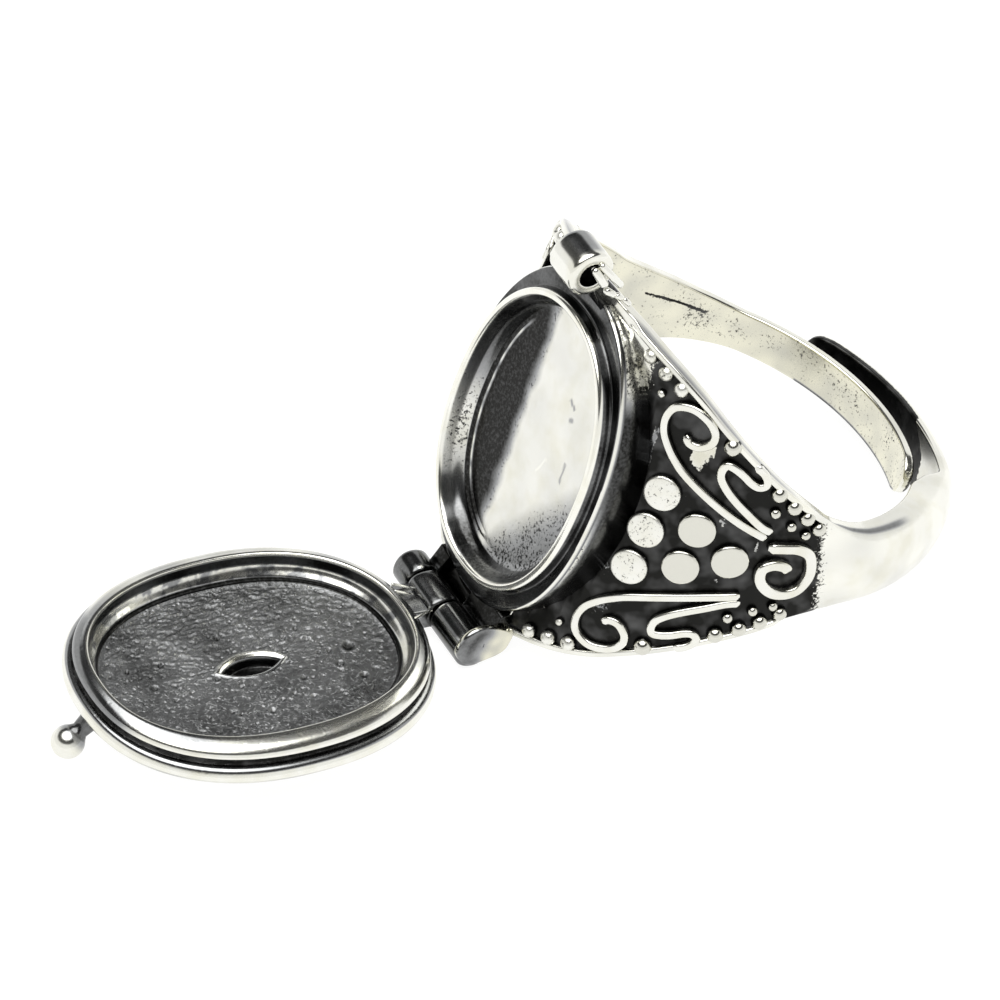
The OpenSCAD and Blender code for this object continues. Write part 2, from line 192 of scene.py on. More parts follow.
# How far the lid lies off the cup's middle, along and across, and its rim further still
LID_SHIFT = (-0.03, -0.08)
RIM_SHIFT = -0.11
# Levels of the closed lid: its floor's relief, its floor's finish, the groove, the strip beyond the groove
FLOOR_LEVELS = (10.8, 10.9)
FLOOR_FINISH = (10.78, 10.95)
GROOVE_LEVELS = (10.1, 10.46)
STRIP_TOP = 10.6
# Ovals of the lid: its outside, the lip of its rim, and where the floor's relief ends
LID_OUTSIDE = (7.5, 5.6)
LIP_OVAL = (7.1, 5.27)
FLOOR_OVAL = (6.5, 4.7)
OVAL_POWER = 2.2
# Pointed hole in the lid's floor
EYE_HALF = (1.4, 0.5)
EYE_DEPTH = 0.4
EYE_PLACE = (-0.06, -0.12)
# Share of the floor's half length at which its rows follow the hole, and where they are oval again
EYE_SHARE = 0.2
EYE_FREE = 0.75
# Casting pits of the lid's floor: along, across, radius, depth
PITS = (
    (-4.57, -0.34, 0.3, 0.16), (-3.73, -1.21, 0.2, 0.14), (-3.08, 0.65, 0.16, 0.1), (-2.1, 0.99, 0.16, 0.1),
    (-3.68, -0.28, 0.13, 0.08), (-5.71, -1.12, 0.14, 0.08), (-4.39, -2.17, 0.2, 0.11),
    (0.59, 1.9, 0.15, 0.09), (3.6, 1.15, 0.17, 0.11), (5.14, 1.23, 0.14, 0.09), (4.45, -0.03, 0.18, 0.11),
    (1.69, -0.37, 0.16, 0.1), (0.3, -2.88, 0.18, 0.1), (-1.87, -1.49, 0.16, 0.09),
    (-1.06, -2.26, 0.14, 0.08), (-1.77, -2.63, 0.15, 0.08), (0.92, -1.1, 0.15, 0.08),
    (-2.91, 1.36, 0.14, 0.09), (3.06, -2.39, 0.13, 0.08), (2.0, -2.43, 0.13, 0.07),
)

# Hinge knuckles and end barrel, along y
KNUCKLE_R = 0.8
PIN_HOLE_R = 0.37
FAR_LUG = (1.67, 2.97)
LID_KNUCKLE = (-0.42, 1.6)
NEAR_LUG = (-3.05, -0.49)
# End face of the near lug, in x and z
LUG_END = (
    (-11.2, -8.85), (-11.05, -8.3), (-10.7, -7.92), (-10.2, -7.76), (-9.6, -7.76), (-9.0, -7.9),
    (-8.62, -8.15), (-8.6, -8.6), (-8.7, -9.02), (-9.0, -9.3), (-9.4, -9.5), (-9.85, -9.69), (-10.4, -9.78),
    (-10.9, -9.48), (-11.15, -9.15),
)
# Painted highlights on the lugs, and on the lid's knuckle where it stands open: place and size
HINGE_GLINTS = (((-10.95, -2.72, -8.5), 0.3), ((-10.8, -0.66, -8.5), 0.2), ((-10.6, 1.8, -8.25), 0.22))
KNUCKLE_GLINT = ((-9.62, -0.2, -8.5), 0.34)
# Solder runs between the lid and its knuckle, with the lid closed: both ends
LID_FILLETS = (
    ((-10.0, 1.12, -8.45), (-9.72, 1.4, -7.5)), ((-10.1, 0.76, -8.42), (-9.74, 0.98, -7.42)),
    ((-9.98, -0.36, -8.5), (-9.72, -0.85, -7.4)),
)
# Solder beads: both ends and radius
HINGE_BEADS = (
    ((-9.0, -0.1, -7.9), (-8.35, -0.4, -8.5), 0.07), ((-8.95, -2.7, -7.5), (-8.9, -2.75, -7.0), 0.05),
)
BARREL_BEADS = (
    ((-10.95, -1.2, 9.85), (-10.5, -1.45, 9.4), 0.2), ((-10.7, -1.2, 10.1), (-9.75, -1.55, 9.42), 0.17),
    ((-10.2, -1.5, 9.05), (-9.95, -1.6, 8.95), 0.17), ((-9.65, -1.6, 8.86), (-9.5, -1.65, 8.8), 0.15),
    ((-9.25, -1.7, 8.7), (-9.1, -1.8, 8.6), 0.13),
)
BARREL_X = -10.99
BARREL_Z = 9.59
BARREL_R = 1.07
BARREL_HOLE_R = 0.56
BARREL_ENDS = (-1.15, 0.68)
# Thumbnail ball, with the lid closed
BALL_X = -12.73
BALL_Z = 8.35
BALL_R = 0.73
BALL_LEAN = 133.8


class RingSizes(bpy.types.PropertyGroup):
    """Fine sizes of the cast and soldered details."""

    wire_width: FloatProperty(name="Scroll wire width", description="Width of the flat scroll wire",
                              default=0.00036, unit="LENGTH", precision=5)
    edge_radius: FloatProperty(name="Edge radius", default=0.0001, unit="LENGTH", precision=5,
                               description="How far the band's inner edges are worn round")
    disc_crown: FloatProperty(name="Disc crown", description="How far the middle of a disc stands proud",
                              default=0.00004, unit="LENGTH", precision=5)
    ripple: FloatProperty(name="Casting ripple", description="Height of the ripples in the lid's floor",
                          default=0.00003, unit="LENGTH", precision=5)
    seed: IntProperty(name="Pit seed", description="Seed of the small casting pits", default=7)


class RingFinish(bpy.types.PropertyGroup):
    """Colours and gloss of the silver."""

    silver: FloatVectorProperty(name="Silver", description="Colour of the polished metal", subtype="COLOR",
                                size=4, default=(0.88, 0.875, 0.82, 1))
    warm: FloatVectorProperty(name="Warm silver", description="Colour where the polish is thin",
                              subtype="COLOR", size=4, default=(0.76, 0.74, 0.61, 1))
    oxide: FloatVectorProperty(name="Oxide", description="Colour of the blackened recesses", subtype="COLOR",
                               size=4, default=(0.018, 0.018, 0.017, 1))
    # Worn oxide also serves as a painted sheen: lighter clouds on the black stand in for soft reflections.
    oxide_worn_and_sheen: FloatVectorProperty(name="Worn oxide", description="Colour of thin, rubbed oxide",
                                    subtype="COLOR", size=4, default=(0.09, 0.09, 0.09, 1))
    # Grey and oxide are also the colours of painted shade on the haze layer.
    grey: FloatVectorProperty(name="Grey oxide", description="Colour of thin, light oxide",
                              subtype="COLOR", size=4, default=(0.34, 0.345, 0.35, 1))


class RingStudio(bpy.types.PropertyGroup):
    """Camera and light of the studio."""

    azimuth: FloatProperty(name="Camera azimuth", description="Degrees round the ring", default=-27.16)
    elevation: FloatProperty(name="Camera elevation", description="Degrees above the table", default=45.82)
    roll: FloatProperty(name="Camera roll", description="Degrees about the line of sight", default=-0.98)
    distance: FloatProperty(name="Camera distance", description="From the point it aims at",
                            default=0.3407, unit="LENGTH")
    aim: FloatVectorProperty(name="Camera aim", description="Point in the middle of the picture", size=3,
                             default=(-0.00891, 0.002354, -0.001917), subtype="TRANSLATION", unit="LENGTH")
    lens: FloatProperty(name="Lens", description="Focal length for a 36 mm wide sensor", default=288.0)


# Shapes

# How many times wider apart the rows of a loft are in its coarse parts
COARSER = 2.2


def smooth_step(low, high, value):
    """0 below low, 1 above high, smooth between them. low may be the larger one."""
    t = np.clip((np.asarray(value, float) - low) / (high - low), 0, 1)
    return t * t * (3 - 2 * t)


def monotone(table, at):
    """Columns of a table as smooth curves of its first column, with no overshoot, read at each place."""
    rows = np.array(table, float)
    x, y = rows[:, 0], rows[:, 1:]
    step = np.diff(x)[:, None]
    slope = np.diff(y, axis=0) / step
    tangent = np.zeros_like(y)
    same = slope[:-1] * slope[1:] > 0
    mean = 2 * slope[:-1] * slope[1:] / np.where(same, slope[:-1] + slope[1:], 1)
    tangent[1:-1] = np.where(same, mean, 0)
    tangent[0], tangent[-1] = slope[0], slope[-1]
    i = np.clip(np.searchsorted(x, at) - 1, 0, len(x) - 2)
    t = ((np.asarray(at) - x[i]) / (x[i + 1] - x[i]))[:, None]
    h = step[i]
    return ((1 + 2 * t) * (1 - t) ** 2 * y[i] + t * (1 - t) ** 2 * h * tangent[i]
            + t * t * (3 - 2 * t) * y[i + 1] + t * t * (t - 1) * h * tangent[i + 1])


def through(points, steps):
    """Smooth curve through the points, with steps places to each span."""
    p = np.array(points, float)
    padded = np.vstack([2 * p[0] - p[1], p, 2 * p[-1] - p[-2]])
    out = []
    for i in range(1, len(padded) - 2):
        a, b, c, d = padded[i - 1:i + 3]
        for k in range(steps):
            t = k / steps
            out.append(0.5 * (2 * b + (c - a) * t + (2 * a - 5 * b + 4 * c - d) * t * t
                              + (3 * b - a - 3 * c + d) * t ** 3))
    out.append(p[-1])
    return np.array(out)


def run_length(line):
    """How far along a line each of its places is."""
    return np.concatenate([[0], np.cumsum(np.linalg.norm(np.diff(line, axis=0), axis=1))])


def even_steps(line, step):
    """The same line with places about one step apart."""
    run = run_length(line)
    at = np.linspace(0, run[-1], int(run[-1] / step) + 1)
    return np.stack([np.interp(at, run, column) for column in line.T], axis=1)


def rounded(corners, steps=6):
    """Line through corners, whose last column is the radius that rounds each one."""
    c = np.array(corners, float)
    p, radius = c[:, :-1], c[:, -1]
    out = [p[0]]
    for i in range(1, len(p) - 1):
        back, on = p[i - 1] - p[i], p[i + 1] - p[i]
        reach = min(radius[i] * 1.2, 0.45 * np.linalg.norm(back), 0.45 * np.linalg.norm(on))
        if reach <= 0:
            out.append(p[i])
            continue
        start = p[i] + back / np.linalg.norm(back) * reach
        end = p[i] + on / np.linalg.norm(on) * reach
        for t in np.linspace(0, 1, steps):
            out.append((1 - t) ** 2 * start + 2 * t * (1 - t) * p[i] + t * t * end)
    out.append(p[-1])
    return np.array(out)


def refine(line, gap):
    """The same line with extra places, so that none are further apart than gap."""
    out = [line[0]]
    for a, b in zip(line[:-1], line[1:]):
        n = max(1, int(np.ceil(np.linalg.norm(b - a) / gap)))
        out += [a + (b - a) * k / n for k in range(1, n + 1)]
    return np.array(out)


def oval(count, power):
    """Unit oval with slightly squared ends, as (along, across) columns, evenly spaced along its edge."""
    t = np.linspace(0, 2 * np.pi, 4001)[:-1]
    x = np.sign(np.cos(t)) * np.abs(np.cos(t)) ** (2 / power)
    y = np.sign(np.sin(t)) * np.abs(np.sin(t)) ** (2 / power)
    run = np.concatenate([[0], np.cumsum(np.hypot(np.diff(x) * 1.4, np.diff(y)))])
    pick = np.searchsorted(run, np.linspace(0, run[-1], count, endpoint=False))
    return np.stack([x[pick], y[pick]], axis=1)


def skin(rows, closed_run=False):
    """Points and outward faces of a tube through equal rows. Its ends are closed unless it joins up."""
    rows = np.asarray(rows, float)
    n_rows, n = rows.shape[:2]
    points = rows.reshape(-1, 3)
    i, j = np.meshgrid(np.arange(n_rows if closed_run else n_rows - 1), np.arange(n), indexing="ij")
    a, b = i * n, ((i + 1) % n_rows) * n
    k = (j + 1) % n
    faces = np.stack([a + j, a + k, b + k, b + j], axis=-1).reshape(-1, 4).tolist()
    if not closed_run:
        middle = np.stack([rows[0].mean(axis=0), rows[-1].mean(axis=0)])
        first, last = len(points), len(points) + 1
        points = np.vstack([points, middle])
        top = (n_rows - 1) * n
        faces += [[(s + 1) % n, s, first] for s in range(n)]
        faces += [[top + s, top + (s + 1) % n, last] for s in range(n)]
    return points, outward(points, faces)


def outward(points, faces):
    """The faces, turned over if they point inwards."""
    volume = 0.0
    quads = np.array([f if len(f) == 4 else [*f, f[2]] for f in faces])
    p = points[quads]
    for a, b, c in ((0, 1, 2), (0, 2, 3)):
        volume += np.einsum("ij,ij->i", p[:, a], np.cross(p[:, b], p[:, c])).sum()
    return [f[::-1] for f in faces] if volume < 0 else faces


def loft_oval(stations, count, gap, coarse, power=OVAL_POWER):
    """Closed oval body through stations; rows are wider apart inside the coarse half lengths of both ends."""
    line = rounded(stations)
    first = np.argmin(line[:, 0] < coarse[0])
    last = len(line) - np.argmin(line[::-1, 0] < coarse[1])
    wide_gap = COARSER * gap
    line = np.vstack([refine(line[:first + 1], wide_gap)[:-1], refine(line[first:last], gap),
                      refine(line[last - 1:], wide_gap)[1:]])
    edge = oval(count, power)
    rows = np.empty((len(line) - 2, count, 3))
    rows[:, :, 2] = line[1:-1, 0:1] * edge[:, 0]
    rows[:, :, 1] = line[1:-1, 1:2] * edge[:, 1]
    rows[:, :, 0] = -line[1:-1, 2:3]
    points, faces = skin(rows)
    points[-2] = (-line[0, 2], 0, 0)
    points[-1] = (-line[-1, 2], 0, 0)
    return points, faces


def turned(profile, centre, squareness=2.0):
    """Body turned about a line along y through centre, from (radius, y) places that close on themselves."""
    t = np.linspace(0, 2 * np.pi, 72, endpoint=False)
    swell = (np.abs(np.cos(t)) ** squareness + np.abs(np.sin(t)) ** squareness) ** (-1 / squareness)
    hole = min(r for r, _ in profile)
    rows = []
    for a, w in zip(t, swell):
        reach = [(hole + (r - hole) * w, y) for r, y in profile]
        rows.append([(centre[0] + r * math.cos(a), y, centre[1] + r * math.sin(a)) for r, y in reach])
    return skin(rows, closed_run=True)


def spun(profile, count):
    """Closed body turned about z, from (radius, height) places."""
    t = np.linspace(0, 2 * np.pi, count, endpoint=False)
    return skin([[(r * math.cos(a), r * math.sin(a), z) for a in t] for r, z in profile])


def bead(start, end, radius):
    """Drop of solder or a wire end, from one place to another, with round ends."""
    a, b = Vector(start), Vector(end)
    run = (b - a).to_track_quat("Z", "Y").to_matrix()
    t = np.linspace(0, 2 * np.pi, 14, endpoint=False)
    length = (b - a).length
    rows = [[tuple(a + run @ Vector((radius * math.sin(u) * math.cos(v), radius * math.sin(u) * math.sin(v),
                                     -radius * math.cos(u) + (length if u > np.pi / 2 else 0))))
             for v in t] for u in np.linspace(0.15, np.pi - 0.15, 10)]
    return skin(rows)


def merged(*parts):
    """Several (points, faces) as one."""
    points, faces, base = [], [], 0
    for p, f in parts:
        points.append(np.asarray(p, float))
        faces += [[v + base for v in face] for face in f]
        base += len(p)
    return np.vstack(points), faces


def wave(points, size, seed=0.0):
    """Soft noise between about -1 and 1 at each point, in lumps of the given size."""
    return np.array([noise.noise(Vector((p[0] / size + seed, p[1] / size, p[2] / size))) for p in points]) * 2


# Pieces and their surface data

def piece_of(name, points, faces, place):
    """Plain object of one piece, its points set in the world by place."""
    mesh = bpy.data.meshes.new(name)
    mesh.from_pydata(np.asarray(points).tolist(), [], faces)
    mesh.transform(place)
    mesh.update()
    return bpy.data.objects.new(name, mesh)


def dress(piece, body, slot, node, paint):
    """Smooth shading, painted layers, material, and the calls that tie a piece to the frame."""
    mesh = piece.data
    mesh.shade_smooth()
    for layer in ("oxide", "grain", "haze", "warmth"):
        attribute = mesh.attributes.get(layer) or mesh.attributes.new(layer, "FLOAT", "POINT")
        attribute.data.foreach_set("value", np.full(len(mesh.vertices), paint.get(layer, 0), np.float32))
    mesh.materials.clear()
    mesh.materials.append(silver(slot))
    bpy.context.scene.collection.objects.link(piece)
    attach(piece, body)
    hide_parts(node)


def dress_ring(piece, **paint):
    """Dresses one piece of the ring's body."""
    dress(piece, RING_BODY, "silver", "ring_body", paint)


def ring_piece(name, points, faces, **paint):
    """Makes one piece of the ring's body, from points in the ring's axes."""
    dress_ring(piece_of(name, points, faces, RING_TO_WORLD), **paint)


def lid_piece(name, points, faces, **paint):
    """Makes one piece of the lid, from its points as it lies closed."""
    dress(piece_of(name, points, faces, LID_TO_WORLD), LID_BODY, "lid_silver", "lid", paint)


def in_ring(mesh):
    """A finished mesh's points in the ring's own axes, in millimetres."""
    flat = np.empty(len(mesh.vertices) * 3)
    mesh.vertices.foreach_get("co", flat)
    back = np.array(RING_TO_WORLD.inverted())
    return flat.reshape(-1, 3) @ back[:3, :3].T + back[:3, 3]


def relief_oxide(x, y):
    """Oxide of raised ornament: clean on top, black down its sides."""
    return 1 - smooth_step(SHOULDER_R + 0.08, RELIEF_R - 0.06, np.hypot(x, y))


# Materials

def fill(tree, node, inputs):
    """Joins a node's inputs to sockets, or sets them to values."""
    for key, value in inputs.items():
        if isinstance(value, bpy.types.NodeSocket):
            tree.links.new(node.inputs[key], value)
        else:
            node.inputs[key].default_value = value


def add(tree, kind, inputs, out=0, **settings):
    """Adds a node, sets its properties, fills its inputs and gives one of its outputs."""
    node = tree.nodes.new(kind)
    for key, value in settings.items():
        setattr(node, key, value)
    fill(tree, node, inputs)
    return node.outputs[out]


def calc(tree, operation, *terms):
    """Result of a math node on sockets and numbers."""
    return add(tree, "ShaderNodeMath", dict(enumerate(terms)), operation=operation)


def ranged(tree, value, low, high, start=0.0, end=1.0, kind="LINEAR"):
    """Value between low and high, brought to the range from start to end."""
    places = {0: value, 1: low, 2: high, 3: start, 4: end}
    return add(tree, "ShaderNodeMapRange", places, interpolation_type=kind)


def blend(tree, share, first, second):
    """Colour between the first and the second."""
    return add(tree, "ShaderNodeMix", {0: share, 6: first, 7: second}, 2, data_type="RGBA")


def lumps(tree, place, scale, detail, roughness=0.5, distortion=0.0):
    """Noise texture, about 0.5."""
    return add(tree, "ShaderNodeTexNoise",
               {0: place, 2: scale, 3: detail, 4: roughness, 8: distortion}, "Fac")


def painted(tree, layer):
    """Layer that dress() painted on a piece."""
    return add(tree, "ShaderNodeAttribute", {}, "Fac", attribute_name=layer)


def silver_material(name, speckle=1.5, polish=0.13, grain_height=0.00001, grain_size=4200.0, arcs=0.0):
    """Silver whose painted oxide breaks up into specks at its border, with fine scratches and pits; the scratches
    carry painted glints and the oxide a painted sheen.
    """
    finish = bpy.context.scene.ring_finish
    material = bpy.data.materials.new(name)
    material.use_nodes = True
    tree = material.node_tree
    tree.nodes.clear()
    place = add(tree, "ShaderNodeTexCoord", {}, "Object")
    oxide, grain, haze = (painted(tree, layer) for layer in ("oxide", "grain", "haze"))

    specks = lumps(tree, place, 7500.0, 3.0, 0.65)
    clouds = lumps(tree, place, 900.0, 2.0, 0.55)
    spread = calc(tree, "MULTIPLY_ADD", specks, speckle, -speckle / 2)
    drift = calc(tree, "MULTIPLY_ADD", clouds, 0.5, -0.25)
    level = calc(tree, "ADD", oxide, calc(tree, "ADD", spread, drift))
    mask = ranged(tree, level, 0.4, 0.62, kind="SMOOTHSTEP")

    thin = ranged(tree, clouds, 0.4, 0.75, 0.0, 0.6)
    yellowed = calc(tree, "MAXIMUM", thin, painted(tree, "warmth"))
    clean = blend(tree, yellowed, finish.silver, finish.warm)
    # The haze layer turns clean silver grey and then black. It carries real tarnish, and also painted shade and
    # painted highlights.
    stirred = calc(tree, "MULTIPLY", haze, calc(tree, "MULTIPLY_ADD", specks, 0.3, 0.87))
    swirl = lumps(tree, place, 3300.0, 2.0, distortion=0.6)
    line = ranged(tree, calc(tree, "ABSOLUTE", calc(tree, "SUBTRACT", swirl, 0.5)), 0.004, 0.03, 1.0, 0.0)
    pieces = calc(tree, "MULTIPLY", line, ranged(tree, specks, 0.46, 0.56))
    ridge = calc(tree, "MULTIPLY", pieces, grain)
    # Painted highlights: the scratch ridges lower the haze, so they show bright in the colour as well as in the
    # bump.
    tone = calc(tree, "MULTIPLY_ADD", ridge, -arcs, stirred)
    to_grey = ranged(tree, tone, 0.0, 0.5)
    to_black = ranged(tree, tone, 0.5, 1.0)
    toned = blend(tree, to_black, blend(tree, to_grey, clean, finish.grey), finish.oxide)
    # Black oxide, lighter in clouds: partly rubbed oxide, partly a painted sheen.
    black = blend(tree, ranged(tree, clouds, 0.45, 0.75), finish.oxide, finish.oxide_worn_and_sheen)
    colour = blend(tree, mask, toned, black)

    gloss = ranged(tree, mask, 0.0, 1.0, polish, 0.3)
    roughness = calc(tree, "MULTIPLY_ADD", grain, 0.2, calc(tree, "MULTIPLY_ADD", clouds, 0.06, gloss))

    pit_cut = ranged(tree, add(tree, "ShaderNodeTexVoronoi", {0: place, 2: 2600.0}, "Distance"), 0.05, 0.3)
    pitted = calc(tree, "ADD", lumps(tree, place, grain_size, 4.0, 0.6), pit_cut)
    texture = calc(tree, "MULTIPLY_ADD", ridge, 2 * arcs, pitted)
    depth = calc(tree, "MAXIMUM", calc(tree, "MULTIPLY", mask, 0.45), grain)
    strength = ranged(tree, depth, 0.0, 1.0, 0.04, 0.9)
    bump = add(tree, "ShaderNodeBump", {"Height": texture, "Strength": strength, "Distance": grain_height},
               "Normal")
    shader = add(tree, "ShaderNodeBsdfPrincipled", {
        "Base Color": colour, "Roughness": roughness, "Normal": bump, "Metallic": 1.0})
    fill(tree, tree.nodes.new("ShaderNodeOutputMaterial"), {0: shader})
    return material


# Silver of each slot: its material's name, and what sets it apart from the band's
SILVERS = {
    "silver": ("oxidised_silver", {}),
    "lid_silver": ("oxidised_lid_silver", {"speckle": 1.2, "polish": 0.16, "grain_height": 0.00006,
                                           "grain_size": 5200.0, "arcs": 0.62}),
    "pin_silver": ("dull_pin_silver", {"speckle": 2.2, "polish": 0.3, "grain_height": 0.00004}),
}


def silver(slot):
    """Material of a slot, made the first time it is asked for."""
    name, recipe = SILVERS[slot]
    return bpy.data.materials.get(name) or silver_material(name, **recipe)


# Geometry Nodes trees

def new_tree(name, inputs):
    """Empty tree with a geometry input and output and the named inputs, and what they give and take."""
    tree = bpy.data.node_groups.new(name, "GeometryNodeTree")
    for way in ("INPUT", "OUTPUT"):
        tree.interface.new_socket("Geometry", in_out=way, socket_type="NodeSocketGeometry")
    for label, kind in inputs.items():
        tree.interface.new_socket(label, in_out="INPUT", socket_type="NodeSocket" + kind)
    return tree, tree.nodes.new("NodeGroupInput").outputs, tree.nodes.new("NodeGroupOutput").inputs


def named(tree, label, kind):
    """Reads a named attribute of the points."""
    return add(tree, "GeometryNodeInputNamedAttribute", {0: label}, data_type=kind)


def hand_out(tree, body, given, result):
    """Realises a tree's body and gives it the metal."""
    solid = add(tree, "GeometryNodeRealizeInstances", {0: body})
    tree.links.new(result[0], add(tree, "GeometryNodeSetMaterial", {0: solid, 2: given["Metal"]}))
    return tree


def studs_tree():
    """One turned stud on every point, scaled by its size and standing along its facing."""
    tree, given, result = new_tree("studs", {"Stud": "Object", "Metal": "Material"})
    stud = add(tree, "GeometryNodeObjectInfo", {0: given["Stud"]}, "Geometry")
    aim = add(tree, "FunctionNodeAlignRotationToVector", {2: named(tree, "facing", "FLOAT_VECTOR")}, axis="Z")
    studs = add(tree, "GeometryNodeInstanceOnPoints", {
        "Points": given[0], "Instance": stud, "Rotation": aim, "Scale": named(tree, "size", "FLOAT")})
    return hand_out(tree, studs, given, result)


def wire_tree():
    """Flat wire with rounded edges along every line, its top facing outwards."""
    tree, given, result = new_tree("flat_wire", {
        "Width": "Float", "Height": "Float", "Edge": "Float", "Metal": "Material"})
    line = add(tree, "GeometryNodeMeshToCurve", {0: given[0]})
    up = add(tree, "GeometryNodeSetCurveNormal", {
        "Curve": line, "Normal": named(tree, "facing", "FLOAT_VECTOR")}, mode="FREE")
    section = add(tree, "GeometryNodeCurvePrimitiveQuadrilateral", {
        0: given["Height"], 1: given["Width"]}, mode="RECTANGLE")
    soft = add(tree, "GeometryNodeFilletCurve", {
        0: section, "Radius": given["Edge"], "Count": 4}, mode="POLY")
    wire = add(tree, "GeometryNodeCurveToMesh", {
        0: up, 1: soft, "Scale": named(tree, "size", "FLOAT"), "Fill Caps": True})
    return hand_out(tree, wire, given, result)


def grown(name, carrier, tree, inputs):
    """Plain object of what a tree makes on a carrier mesh. The carrier is removed."""
    holder = bpy.data.objects.new(name + "_lines", carrier)
    bpy.context.scene.collection.objects.link(holder)
    modifier = holder.modifiers.new(name, "NODES")
    modifier.node_group = tree
    for item in tree.interface.items_tree:
        if item.item_type == "SOCKET" and item.in_out == "INPUT" and item.name in inputs:
            modifier[item.identifier] = inputs[item.name]
    depsgraph = bpy.context.evaluated_depsgraph_get()
    mesh = bpy.data.meshes.new_from_object(holder.evaluated_get(depsgraph))
    holder.modifiers.clear()
    bpy.data.objects.remove(holder)
    mesh.name = name
    return bpy.data.objects.new(name, mesh)


def carrier_mesh(name, points, edges, facing, size):
    """Points or lines in the ring's axes, with the facing and size that a tree reads."""
    mesh = bpy.data.meshes.new(name)
    mesh.from_pydata([RING_TO_WORLD @ Vector(p) for p in points], edges, [])
    turn = np.array(Matrix.Rotation(REST_TILT, 3, "Y"))
    mesh.attributes.new("facing", "FLOAT_VECTOR", "POINT").data.foreach_set(
        "vector", (np.asarray(facing) @ turn.T).astype(np.float32).ravel())
    mesh.attributes.new("size", "FLOAT", "POINT").data.foreach_set("value", np.asarray(size, np.float32))
    return mesh


def on_band(angle, height, radius, side):
    """Place on the band; side is 1 on the camera's side and -1 on the far one."""
    a = math.radians(angle)
    return (-radius * math.cos(a), -side * radius * math.sin(a), height)


def away(angle, side):
    """Direction straight out of the band at an angle."""
    a = math.radians(angle)
    return (-math.cos(a), -side * math.sin(a), 0)


# The band

def shoulder_rows():
    """Shoulder sizes with the columns of the shanks."""
    return [(a, FINGER_R, SHOULDER_R - EDGE_SOFT, SHOULDER_R, h, EDGE_SOFT) for a, h in SHOULDER]


def band_rows():
    """Sizes of the whole band along its turn, far end first."""
    far = [(-row[0], *row[1:]) for row in reversed(INNER_SHANK)]
    far += [(-row[0], *row[1:]) for row in reversed(shoulder_rows()[1:])]
    return far + shoulder_rows() + list(OUTER_SHANK)


def band_section(inner, side, crown, half, soft, edge):
    """Section of the band as (radius, height) places: flat crown, rounded sides, softened inner edges."""
    flat = half - soft
    t = np.linspace(0, np.pi / 2, 13)
    arc = np.stack([side + (crown - side) * np.cos(t), flat + soft * np.sin(t)], axis=1)
    near = flat - min(0.42, 0.8 * flat) * np.array([1, 0.8, 0.7, 0.62, 0.55, 0.48, 0.4, 0.24])
    across = np.concatenate([-near[::-1], np.linspace(-near[0], near[0], 26)[1:-1], near])
    level = np.stack([np.full(len(across), crown), across], axis=1)
    r = min(edge, 0.4 * (side - inner), 0.4 * half)
    down = [(side + (inner + r - side) * k / 4, half) for k in range(1, 4)]
    down += [(inner + r - r * math.sin(u), half - r + r * math.cos(u)) for u in np.linspace(0, np.pi / 2, 5)]
    inside = [(inner, (half - r) * (1 - k / 24)) for k in range(1, 48)]
    upper = [*arc.tolist(), *down]
    lower = [(a, -b) for a, b in reversed(upper)]
    return np.array([*level.tolist(), *upper, *inside, *lower])


def rail_share(points, half):
    """1 on the raised rail along the edge of a shoulder, 0 off it."""
    turn = np.abs(np.degrees(np.arctan2(-points[:, 1], -points[:, 0])))
    inset = half - np.abs(points[:, 2])
    start, end = RAIL_ENDS
    along = smooth_step(start, start + 6, turn) * smooth_step(end, end - 4, turn)
    return along * smooth_step(RAIL_WIDTH + 0.09, RAIL_WIDTH - 0.03, inset)


def half_height(turn):
    """Half height of the shoulders and near shank at angles from the locket's middle."""
    table = [(a, h) for a, h in SHOULDER] + [(row[0], row[4]) for row in OUTER_SHANK]
    return monotone(table, np.clip(turn, 0, 179))[:, 0]


def ground_marks(angle, z):
    """How bare, and how grey, the worn places leave the near shoulder."""
    bare, grey = np.zeros(len(z)), np.zeros(len(z))
    for middle, height, turn_size, height_size, share, tone in GROUND_MARKS:
        off = np.hypot((angle - middle) / turn_size, (z - height) / height_size)
        here = share * smooth_step(1.15, 0.75, off + 0.12 * np.sin(9 * angle + 5 * z))
        grey = np.where(here > bare, tone, grey)
        bare = np.maximum(bare, here)
    return bare, grey


def band_oxide(points):
    """Black ground between the ornaments, bright rails, sparse specks inside."""
    radius = np.hypot(points[:, 0], points[:, 1])
    angle = np.degrees(np.arctan2(-points[:, 1], -points[:, 0]))
    z = points[:, 2]
    turn = np.abs(angle)
    half = half_height(turn)
    field_end = 89.8 - 1.7 * np.clip(z, -2, 2)
    field = smooth_step(SHOULDER_R - 0.16, SHOULDER_R - 0.06, radius)
    field *= 1 - rail_share(points, half)
    field *= smooth_step(0.0, 0.12, half - np.abs(z))
    field *= 1 - smooth_step(-3.5, 4.0, turn - field_end)
    plain = smooth_step(30, 21, turn) * smooth_step(5.1, 6.4, z + 0.02 * turn)
    field *= 1 - 0.93 * plain
    field *= 1 - ground_marks(angle, z)[0]
    inside = smooth_step(FINGER_R + 0.06, FINGER_R + 0.01, radius)
    patches = 0.2 + 0.1 * wave(points, 2.4, 5.0)
    for middle, height, spread in INNER_PITS:
        patches += 0.14 * np.exp(-((angle + middle) / spread) ** 2 - ((z - height) / 0.7) ** 2)
    return np.maximum(field, inside * np.clip(patches, 0, 0.36))


